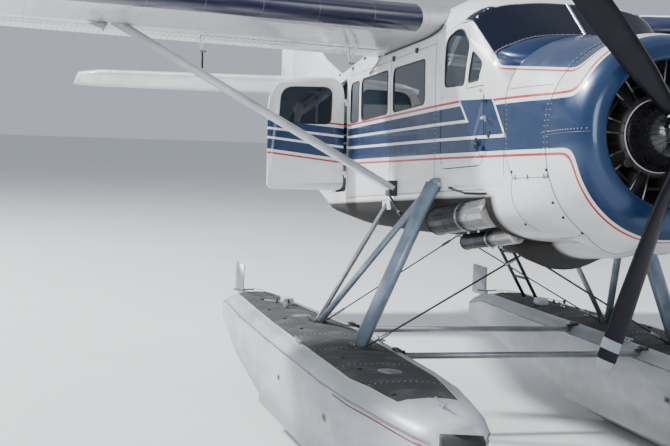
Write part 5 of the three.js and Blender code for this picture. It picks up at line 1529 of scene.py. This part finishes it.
@dataclass
class Wings:
    """Wings with flaps, ailerons, lift struts, rivets, hinges, lamps and fittings."""

    finish: Finishes
    lead_s: float = 2.604
    lead_z: float = 1.063
    ref_y: float = 0.83
    chord: float = 1.98
    lamp_s: float = 3.15
    tip_y: float = 8.80
    hinge_share: float = 0.715
    hinge_drop: float = 0.174
    hinge_y: tuple = (1.2, 2.57, 4.6)
    strut_s: float = 3.81
    strut_top_y: float = 3.51

    def build(self) -> None:
        """Builds both wings."""
        f = self.finish
        for word, side in SIDES:
            probe = Probe(f"wing_{word}", f"flap_{word}", f"aileron_{word}")
            skin(f"wing_{word}", f.wing, 38.0)
            skin(f"flap_{word}", f.ribbed, 38.0, f"flap_{word}")
            skin(f"aileron_{word}", f.ribbed, 38.0, f"aileron_{word}")
            skin(f"lift_strut_{word}", f.pale, 50.0)
            self.rivets(probe, word, side)
            self.root(word, side)
            self.fittings(probe, word, side)
            self.flap_parts(word, side)
            self.tip(probe, word, side)

    def rivets(self, probe: Probe, word: str, side: int) -> None:
        """Rows along the spars and ribs, above and below."""
        spots = []
        for cast in (probe.above, probe.under):
            for s in (2.80, 2.835, 3.35, 3.95):
                spots += [cast(s, side * (1.02 + 0.055 * k)) for k in range(138)]
            for rib in range(17):
                y = 1.15 + 0.46 * rib
                spots += [cast(2.86 + 0.06 * k, side * y) for k in range(18)]
        spots += [probe.under(2.66 + 0.05 * k, side * 0.956) for k in range(26)]
        dress(studs("row", spots, 0.0040, 0.0013), f"wing_rivets_{word}", self.finish.rivet, Slot.WHITE)

    def root(self, word: str, side: int) -> None:
        """Dark sealing strip along the joint of wing and cabin."""
        cabin = Probe("cabin_roof", f"cabin_side_{word}")
        wing = Probe(f"wing_{word}")
        path = []
        for k in range(40):
            s = 2.62 + 0.0485 * k
            place, _ = wing.under(s, side * 0.86)
            z = (place - HUB).dot(UPWARD)
            spot, normal = cabin.side(s, z - 0.008, side, 1.0)
            path.append(spot + normal * 0.004)
        strip = tubes("strip", [path], 0.008, fine=2)
        dress(strip, f"wing_root_seal_{word}", self.finish.seal, Slot.RUBBER)

    def fittings(self, probe: Probe, word: str, side: int) -> None:
        """Forked fitting at the strut's top, cuff at its foot, fuel caps and, to port, the pitot tube."""
        f = self.finish
        top, normal = probe.under(self.strut_s, side * self.strut_top_y)
        foot = fus(self.strut_s, side * 0.866, -0.30)
        lean = (top - foot).normalized()
        parts = []
        for turn in (-1, 1):
            edge = top + FORWARD * turn * 0.052
            parts.append(slab(
                [edge - ACROSS * 0.09, edge + ACROSS * 0.09, edge + ACROSS * 0.05 + normal * 0.075,
                 edge - ACROSS * 0.05 - lean * 0.10], FORWARD * turn * 0.010, 0.002,
            ))
        pin = top - lean * 0.045
        parts.append(stub(pin, FORWARD, -0.085, 0.085, 0.017, sides=16, edge=0.003))
        washer = [(-0.006, 0.018), (0.006, 0.018), (0.006, 0.034), (-0.006, 0.034)]
        parts.append(spun(washer, pin + FORWARD * 0.085, FORWARD, 24, True))
        for k in range(4):
            parts.append(stub(top + FORWARD * (0.16 + 0.045 * k), normal, -0.004, 0.012, 0.010))
        dress(joined(parts), f"strut_top_fitting_{word}", f.dull, Slot.BARE)
        shoe = [box(foot + ACROSS * side * 0.004, (0.135, 0.075, 0.14), TILT, 0.008)]
        shoe += [stub(foot + UPWARD * k * 0.036, FORWARD, -0.08, 0.08, 0.012) for k in (-1, 1)]
        dress(joined(shoe), f"strut_foot_fitting_{word}", f.black, Slot.BLACK)
        caps = []
        for s, y in ((3.2, 1.6), (3.2, 2.5)):
            place, up = probe.above(s, side * y)
            lid = [(-0.002, 0.0), (0.006, 0.0), (0.008, 0.020), (0.008, 0.040), (0.002, 0.046), (-0.002, 0.046)]
            caps.append(spun(lid, place, up, 32))
            caps.append(box(place + up * 0.011, (0.05, 0.012, 0.010), None, 0.002))
        dress(joined(caps), f"fuel_caps_{word}", f.dull, Slot.BARE)
        if side > 0:
            place, down = probe.under(2.75, side * 6.2)
            path = [place, place + down * 0.12 + FORWARD * 0.03, place + down * 0.15 + FORWARD * 0.10,
                    place + down * 0.15 + FORWARD * 0.30]
            dress(tubes("probe", [path], 0.011, fine=2), "pitot_tube", f.silver, Slot.BARE)

    def flap_parts(self, word: str, side: int) -> None:
        """Bolts at the flap hinges and the links that hang beside them."""
        u, drop = self.chord * self.hinge_share + 0.04, self.hinge_drop
        s = self.lead_s + u * math.cos(INCIDENCE) - drop * math.sin(INCIDENCE)
        low = u * math.sin(INCIDENCE) + drop * math.cos(INCIDENCE)
        bolts, links = [], []
        for y in self.hinge_y:
            pin = fus(s, side * y, self.lead_z + (y - self.ref_y) * math.tan(DIHEDRAL) - low)
            bolts.append(stub(pin, ACROSS, -0.022, 0.032, 0.010, sides=12, edge=0.002))
            if y == self.hinge_y[1]:
                links.append([pin, pin - UPWARD * 0.055 + FORWARD * 0.012, pin - UPWARD * 0.12 + FORWARD * 0.004,
                              pin - UPWARD * 0.15 + FORWARD * 0.02])
        dress(joined(bolts), f"flap_hinge_bolts_{word}", self.finish.dull, Slot.BARE)
        dress(tubes("link", links, 0.009, fine=2), f"flap_link_{word}", self.finish.cable, Slot.BLACK)

    def tip(self, probe: Probe, word: str, side: int) -> None:
        """Position lamp on the wing tip."""
        high, _ = probe.above(self.lamp_s, side * self.tip_y)
        low, _ = probe.under(self.lamp_s, side * self.tip_y)
        middle = (high + low) / 2
        out = ACROSS * side
        reach, _ = probe.cast(middle + out * 0.6, -out)
        dome = [(0.0, 0.030), (0.012, 0.029), (0.024, 0.022), (0.031, 0.010), (0.033, 0.0)]
        rim = [(-0.004, 0.030), (0.006, 0.036), (0.006, 0.030), (-0.004, 0.026)]
        lens = spun(dome, reach - out * 0.030, out, 24)
        collar = spun(rim, reach - out * 0.028, out, 24, True)
        finish = self.finish.lamp if side > 0 else self.finish.green
        dress(lens, f"tip_lamp_{word}", finish, Slot.GLASS, 60.0)
        dress(collar, f"tip_lamp_collar_{word}", self.finish.dull, Slot.BARE)


@dataclass
class Tail:
    """Tail cone, fin, rudder, tailplane and elevator with their rivets, tabs and cables."""

    finish: Finishes
    probe: Probe

    def build(self) -> None:
        """Builds the tail."""
        f = self.finish
        skin("tail_cone", f.livery, 40.0)
        skin("fin", f.tail, 40.0)
        skin("rudder", f.tail, 40.0, "rudder")
        for word, _ in SIDES:
            skin(f"tailplane_{word}", f.tail, 40.0)
        skin("elevator", f.tail_ribbed, 40.0, "elevator")
        self.rivets()
        self.seams()
        self.details()

    def middle(self, s: float) -> float:
        """Height of the tail cone's centre line at station s."""
        return 0.35 + 0.10 * (s - 6.6)

    def rivets(self) -> None:
        """Rows round the tail cone's frames and along its sides, the fin and the tailplane."""
        spots = []
        for s in (6.62, 7.5, 8.4, 9.35, 10.3, 11.2):
            spots += [self.probe.around(s, a, self.middle(s)) for a in circle(90)]
        for word, side in SIDES:
            spots += [self.probe.side(6.65 + 0.07 * k, 0.55 + 0.045 * 0.07 * k, side) for k in range(72)]
            plane = Probe(f"tailplane_{word}")
            for s in (10.62, 11.1, 11.52):
                for cast in (plane.above, plane.under):
                    spots += [cast(s, side * (0.2 + 0.055 * k)) for k in range(50)]
        fin = Probe("fin")
        for s in (10.75, 11.3, 11.86):
            for side in (-1, 1):
                spots += [fin.side(s, 1.5 + 0.05 * k, side, 0.6) for k in range(14 if s < 11 else 20)]
        dress(studs("row", spots, 0.004, 0.0014), "tail_rivets", self.finish.rivet, Slot.WHITE)

    def seams(self) -> None:
        """Laps round the tail cone's frames."""
        paths = [[self.probe.around(s, a, self.middle(s))[0] for a in circle(72)] for s in (7.52, 8.42, 9.37, 10.32)]
        dress(tubes("lap", paths, 0.0026, True), "tail_seams", self.finish.seam, Slot.WHITE)

    def details(self) -> None:
        """Trim tab joint and rod, mooring ring and rudder cables."""
        f = self.finish
        rudder = Probe("rudder")
        edge = spaced([(12.70, 1.05), (12.52, 1.05), (12.52, 1.75), (12.70, 1.75)], 0.04)
        tab = [[rudder.side(s, z, side, 0.5)[0] for s, z in edge] for side in (-1, 1)]
        dress(tubes("tab", tab, 0.003), "rudder_tab_joint", f.seam, Slot.WHITE, body="rudder")
        spot, normal = rudder.side(12.46, 1.40, -1, 0.5)
        lever = tubes("rod", [[spot + normal * 0.02, fus(12.60, -0.045, 1.40)]], 0.005)
        dress(lever, "rudder_tab_rod", f.dull, Slot.BARE, body="rudder")
        ring, under = self.probe.under(11.4, 0.0)
        eye = ring + under * 0.03
        loop = [eye + UPWARD * 0.032 * math.cos(a) + FORWARD * 0.032 * math.sin(a) for a in circle(20)]
        dress(tubes("ring", [loop], 0.006, True, 2), "tail_mooring_ring", f.silver, Slot.BARE)
        cables = []
        for side in (-1, 1):
            a, _ = self.probe.side(10.9, 0.78, side)
            b, _ = self.probe.side(11.80, 0.80, side)
            cables.append([a + ACROSS * side * 0.006, (a + b) / 2 + ACROSS * side * 0.020, b + ACROSS * side * 0.010])
        dress(tubes("cable", cables, 0.004), "rudder_cables", f.cable, Slot.BLACK)


# Floats


@dataclass
class Floats:
    """Float hulls with decks, bumpers, cleats, rigging wires, struts, ladder and water rudders.

    An anchor of two wires under the belly is (station, height of the wires, height of the boss, wire radius).
    """

    finish: Finishes
    y: float = 1.5
    bow_x: float = 6.43115
    length: float = 7.55
    bar_s: tuple = (2.63, 4.08)
    bar_z: float = 0.895
    foot_y: float = 1.44
    deck: float = 0.955
    anchors: tuple = ((2.75, -0.850, -0.835, 0.0085), (4.45, -0.720, -0.700, 0.0065))

    def build(self) -> None:
        """Builds both floats and what braces them."""
        f = self.finish
        for word, side in SIDES:
            probe = Probe(f"float_{word}")
            skin(f"float_{word}", f.hull, 30.0)
            skin(f"bow_bumper_{word}", f.rubber, 40.0)
            skin(f"main_struts_{word}", f.strut, 50.0)
            skin(f"rear_strut_{word}", f.dull, 50.0)
            skin(f"water_rudder_{word}", f.dull, 40.0, f"water_rudder_{word}")
            self.strips(probe, word, side)
            self.rivets(probe, word, side)
            self.deck_parts(probe, word, side)
            self.fittings(probe, word, side)
        for k in (1, 2):
            skin(f"spreader_bar_{k}", f.dull, 50.0)
        skin("boarding_ladder", f.black, 40.0)
        self.wires()

    def at(self, t: float, side: int, off: float, z: float) -> Vector:
        """Point of a float: t aft of the bow, off outboard from its centre line."""
        return Vector((self.bow_x - t, side * (self.y + off), z))

    def down(self, probe: Probe, t: float, side: int, off: float) -> tuple[Vector, Vector]:
        """Place on the deck."""
        return probe.cast(self.at(t, side, off, 2.0), -UP)

    def flank(self, probe: Probe, t: float, side: int, outer: int, z: float) -> tuple[Vector, Vector]:
        """Place on the outer or inner flank."""
        return probe.cast(self.at(t, side, outer, z), Vector((0.0, -side * outer, 0.0)))

    def strips(self, probe: Probe, word: str, side: int) -> None:
        """Rubbing strips along the gunwales, wear strips along the keel and a red line below each bow's deck."""
        f = self.finish
        rails, keel = [], []
        gunwale = ((0.06, 0.80), (0.2, 0.822), (0.55, 0.842), (1.15, 0.857), (1.85, 0.857), (4.1, 0.857),
                   (5.6, 0.827), (6.9, 0.807), (7.5, 0.71))
        for outer in (-1, 1):
            rails.append([self.flank(probe, t, side, outer, z)[0] for t, z in spaced(gunwale, 0.09)])
        dress(tubes("rail", rails, 0.009, fine=2), f"float_rub_rails_{word}", f.dull, Slot.FLOAT)
        for t0, t1 in ((1.9, 4.0), (4.2, 6.9)):
            stops = (t0 + (t1 - t0) * k / 14 for k in range(15))
            keel.append([probe.cast(self.at(t, side, 0.0, -1.0), UP)[0] + UP * 0.004 for t in stops])
        dress(tubes("keel", keel, 0.010), f"float_keel_strips_{word}", f.dull, Slot.FLOAT)
        low = spaced(((0.12, 0.775), (0.6, 0.815), (1.5, 0.83)), 0.06)
        lines = [[self.flank(probe, t, side, outer, z)[0] for t, z in low] for outer in (1, -1)]
        red = Plain(f"gunwale_red_{word}", (0.20, 0.018, 0.020), 0.45).build()
        dress(tubes("line", lines, 0.0055), f"float_bow_lines_{word}", red, Slot.FLOAT)

    def rivets(self, probe: Probe, word: str, side: int) -> None:
        """Rows across the deck at each bulkhead, along its edges and down the flanks."""
        spots = []
        for t in (0.62, 1.22, 1.95, 2.70, 3.45, 4.20, 4.95, 5.70, 6.35):
            wide = 0.40 if t < 4.3 else 0.40 - 0.085 * (t - 4.3)
            wide = min(wide, 0.20 + 0.16 * t)
            spots += [self.down(probe, t, side, -wide + 2 * wide * k / 18) for k in range(19)]
            for outer in (-1, 1):
                spots += [self.flank(probe, t, side, outer, 0.50 + 0.042 * k) for k in range(8)]
        for outer in (-1, 1):
            spots += [self.flank(probe, 0.5 + 0.055 * k, side, outer, 0.815) for k in range(110)]
            spots += [self.down(probe, 1.2 + 0.06 * k, side, outer * 0.385) for k in range(50)]
        dress(studs("row", spots, 0.0048, 0.002), f"float_rivets_{word}", self.finish.rivet, Slot.FLOAT)

    def deck_parts(self, probe: Probe, word: str, side: int) -> None:
        """Cleats, hatch covers with hand rings, pump-out plugs and side slots."""
        f = self.finish
        cleats = []
        for t, off in ((0.42, 0.0), (3.10, 0.36), (3.10, -0.36), (5.35, 0.0)):
            place, _ = self.down(probe, t, side, off)
            for k in (-1, 1):
                foot = place + Vector((k * 0.035, 0.0, 0.0))
                cleats.append(stub(foot, UP, -0.004, 0.034, 0.011, 0.009, 14))
            horns = ((-0.11, 0.043), (-0.06, 0.036), (0.0, 0.034), (0.06, 0.036), (0.11, 0.043))
            bar = [place + Vector((x, 0.0, z)) for x, z in horns]
            cleats.append(tubes("horn", [bar], 0.0105, fine=2))
        dress(joined(cleats), f"float_cleats_{word}", f.silver, Slot.BARE)
        covers = []
        for t in (1.60, 4.60, 5.95):
            place, normal = self.down(probe, t, side, 0.0)
            lid = [(-0.003, 0.0), (0.006, 0.0), (0.006, 0.085), (0.004, 0.092), (-0.003, 0.092)]
            covers.append(spun(lid, place, normal, 40))
            covers.append(box(place + normal * 0.010, (0.07, 0.014, 0.008), None, 0.002))
        dress(joined(covers), f"float_hatches_{word}", f.dull, Slot.FLOAT)
        plugs = []
        for t in (0.85, 1.75, 2.25, 3.75, 4.45, 5.2, 6.1):
            place, normal = self.down(probe, t, side, 0.19 if t < 5.5 else 0.08)
            plug = [(-0.002, 0.0), (0.009, 0.0), (0.010, 0.012), (0.004, 0.018), (-0.002, 0.018)]
            plugs.append(spun(plug, place, normal, 20))
        dress(joined(plugs), f"float_bilge_plugs_{word}", f.rubber, Slot.RUBBER)
        frames, holes = [], []
        for t, outer in ((1.35, -1), (2.10, -1), (3.3, 1), (1.7, 1)):
            place, normal = self.flank(probe, t, side, outer, 0.62)
            frames.append(box(place - normal * 0.001, (0.11, 0.008, 0.055), None, 0.003))
            holes.append(box(place + normal * 0.0015, (0.07, 0.008, 0.028), None, 0.002))
        dress(joined(frames), f"float_slot_frames_{word}", f.dull, Slot.FLOAT)
        dress(joined(holes), f"float_slots_{word}", f.black, Slot.BLACK)

    def fittings(self, probe: Probe, word: str, side: int) -> None:
        """Feet of the struts and bars, bolts along the legs, rudder lines and their straps, and a fairlead."""
        f = self.finish
        feet, bolts = [], []
        for s, shift in ((self.bar_s[0], 0.0), (self.bar_s[1], 0.04), (self.bar_s[1], -0.04)):
            base = Vector((HUB.x - s + shift, side * self.foot_y, self.deck + 0.012))
            feet.append(box(base, (0.24 if not shift else 0.13, 0.13, 0.05), None, 0.008))
            for dx in (-0.045, 0.045):
                for dy in (-0.045, 0.045):
                    bolts.append(stub(base + Vector((dx, dy, 0.024)), UP, 0.0, 0.014, 0.011))
        for s in self.bar_s:
            end = Vector((HUB.x - s, side * 1.09, self.bar_z))
            feet.append(stub(end, ACROSS * side, -0.05, 0.03, 0.046, 0.052, 20, 0.004))
            feet.append(box(end + ACROSS * side * 0.02 + UP * 0.02, (0.12, 0.05, 0.09), None, 0.008))
        dress(joined(feet), f"strut_feet_{word}", f.cable, Slot.BLACK)
        apex = fus(2.6, side * 0.872, -0.29)
        rear = Vector((HUB.x - self.bar_s[1] + 0.04, side * self.foot_y, self.deck))
        for k in range(7):
            bolts.append(stub(rear.lerp(apex, 0.10 + 0.12 * k), ACROSS, -0.030, 0.030, 0.007))
        for dx in (-0.075, 0.075):
            spot = apex + Vector((dx, -side * 0.03, 0.0))
            bolts.append(stub(spot, FORWARD, -0.02, 0.02, 0.026, edge=0.003))
        dress(joined(bolts), f"strut_bolts_{word}", f.dull, Slot.BARE)
        post_x, middle = self.bow_x - self.length - 0.100, side * self.y
        runs = ((0.0, 0.11, 0.85), (0.55, 0.10, 0.90), (2.2, 0.06, self.deck + 0.035))
        lines = [[Vector((post_x + x, middle + k * y, z)) for x, y, z in runs] for k in (-1, 1)]
        sheaves = [stub(line[2], ACROSS, -0.008, 0.008, 0.022, sides=20, edge=0.003) for line in lines]
        rig = joined([tubes("line", lines, 0.0035), *sheaves])
        dress(rig, f"water_rudder_lines_{word}", f.cable, Slot.BLACK)
        hinge = [box(Vector((post_x, middle, z)), (0.060, 0.064, 0.020), None, 0.003) for z in (0.605, 0.685)]
        dress(joined(hinge), f"water_rudder_straps_{word}", f.silver, Slot.BARE)
        spot, _ = self.down(probe, 5.70, side, -0.10)
        block = joined([
            box(spot + UP * 0.035, (0.16, 0.11, 0.07), None, 0.012),
            stub(spot + Vector((-0.02, 0.0, 0.035)), ACROSS, -0.06, 0.06, 0.028, sides=20, edge=0.002),
        ])
        dress(block, f"fairlead_{word}", f.pale, Slot.FLOAT)

    def wires(self) -> None:
        """Bracing wires from under the belly to the floats' feet, their turnbuckles, brackets and root plates."""
        f = self.finish
        cords, ends = [], []
        for side in (-1, 1):
            for bar, (s, z, _, r) in zip(self.bar_s, self.anchors):
                a = fus(s, 0.0, z)
                b = Vector((HUB.x - bar, -side * (self.foot_y - 0.09), self.deck + 0.03))
                cords.append(tubes("wire", [[a, b]], r, fine=2))
                lean = (b - a).normalized()
                for spot in (a + lean * 0.10, b - lean * 0.20):
                    ends.append(stub(spot, lean, 0.0, 0.10, r * 1.9, r * 1.9, 14, 0.002))
        for s, _, z, _ in self.anchors:
            ends.append(stub(fus(s, 0.0, z), -UPWARD, 0.0, 0.035, 0.034, 0.026, 20, 0.004))
        dress(joined(cords), "bracing_wires", f.cable, Slot.BARE)
        dress(joined(ends), "wire_turnbuckles", f.silver, Slot.BARE)
        for word, side in SIDES:
            low = fus(3.834, side * 0.776, -0.512)
            vee = [[fus(3.863, side * 0.872, -0.36), low], [fus(4.13, side * 0.80, -0.42), low]]
            knot = rod(fus(3.834, side * 0.79, -0.53), fus(3.834, side * 0.762, -0.50), 0.022, sides=16, edge=0.002)
            bracket = joined([tubes("vee", vee, 0.010, fine=2), knot])
            dress(bracket, f"belly_bracket_{word}", f.cable, Slot.BLACK)
            plate = [box(fus(s, side * 0.815, z), (0.24, 0.02, 0.14), TILT, 0.006)
                     for s, z in ((2.6, -0.30), (4.13, -0.42))]
            dress(joined(plate), f"strut_root_plates_{word}", f.white, Slot.WHITE)


# The stage


@dataclass
class Stage:
    """Camera, floor and lights."""

    eye: Vector = field(default_factory=lambda: Vector((14.4214, -4.3791, 2.7524)))
    forward: Vector = field(default_factory=lambda: Vector((-0.96722, 0.24429, -0.0693)))
    right: Vector = field(default_factory=lambda: Vector((0.24243, 0.96956, 0.03426)))
    focal_px: float = 1370.02
    image_width: int = 670

    def camera(self) -> None:
        """Camera at the photograph's place and angle."""
        data = bpy.data.cameras.new("camera")
        data.sensor_width = 36.0
        data.lens = 36.0 * self.focal_px / self.image_width
        data.clip_end = 400.0
        obj = linked("camera", data)
        up = self.right.cross(self.forward)
        turn = Matrix((self.right, up, -self.forward)).transposed().to_4x4()
        obj.matrix_world = Matrix.Translation(self.eye) @ turn
        bpy.context.scene.camera = obj

    def floor(self) -> None:
        """Plain pale floor under the keels."""
        deselect()
        bpy.ops.mesh.primitive_plane_add(size=400.0, location=(0.0, 0.0, 0.0))
        floor = bpy.context.active_object
        floor.name = "floor"
        g = Graph("floor_pale")
        tone = g.remap(g.noise(0.35, 3.0), 0.3, 0.7, 0.0, 1.0)
        g.set(Base_Color=g.mix(tone, (0.74, 0.75, 0.76), (0.70, 0.71, 0.72)), Roughness=0.75)
        floor.data.materials.append(g.material)

    def lights(self) -> None:
        """Sun-like key from high on the starboard quarter, a broad front fill and a pale sky."""
        world = bpy.data.worlds.new("sky")
        world.use_nodes = True
        back = world.node_tree.nodes["Background"]
        back.inputs["Color"].default_value = (0.84, 0.90, 1.0, 1.0)
        back.inputs["Strength"].default_value = 0.56
        bpy.context.scene.world = world
        for name, place, aim, size, power in (
            ("key", (-11.0, -21.0, 23.0), (3.5, 0.0, 2.2), 3.0, 21000.0),
            ("fill", (19.0, -9.0, 7.0), (3.5, 0.0, 2.2), 8.0, 1700.0),
            ("side", (4.0, 18.0, 9.0), (3.0, 0.0, 2.0), 9.0, 900.0),
        ):
            data = bpy.data.lights.new(name, "AREA")
            data.size = size
            data.energy = power
            light = linked(name, data)
            gaze = Vector(aim) - Vector(place)
            light.matrix_world = Matrix.Translation(place) @ gaze.to_track_quat("-Z", "Y").to_matrix().to_4x4()

    def build(self) -> None:
        """Sets the stage."""
        self.camera()
        self.floor()
        self.lights()


def main() -> None:
    """Builds the floatplane piece by piece."""
    logging.basicConfig(level=logging.INFO, format="%(message)s")
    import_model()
    deselect()
    Stage().build()
    finish = Finishes()
    nose = Nose(finish)
    nose.skins()
    probe = Probe(*HULL_NODES)
    Cabin(finish, probe).build()
    nose.details(probe)
    Engine(finish).build()
    Propeller(finish).build()
    Wings(finish).build()
    Tail(finish, probe).build()
    Floats(finish).build()


if __name__ == "__main__":
    main()
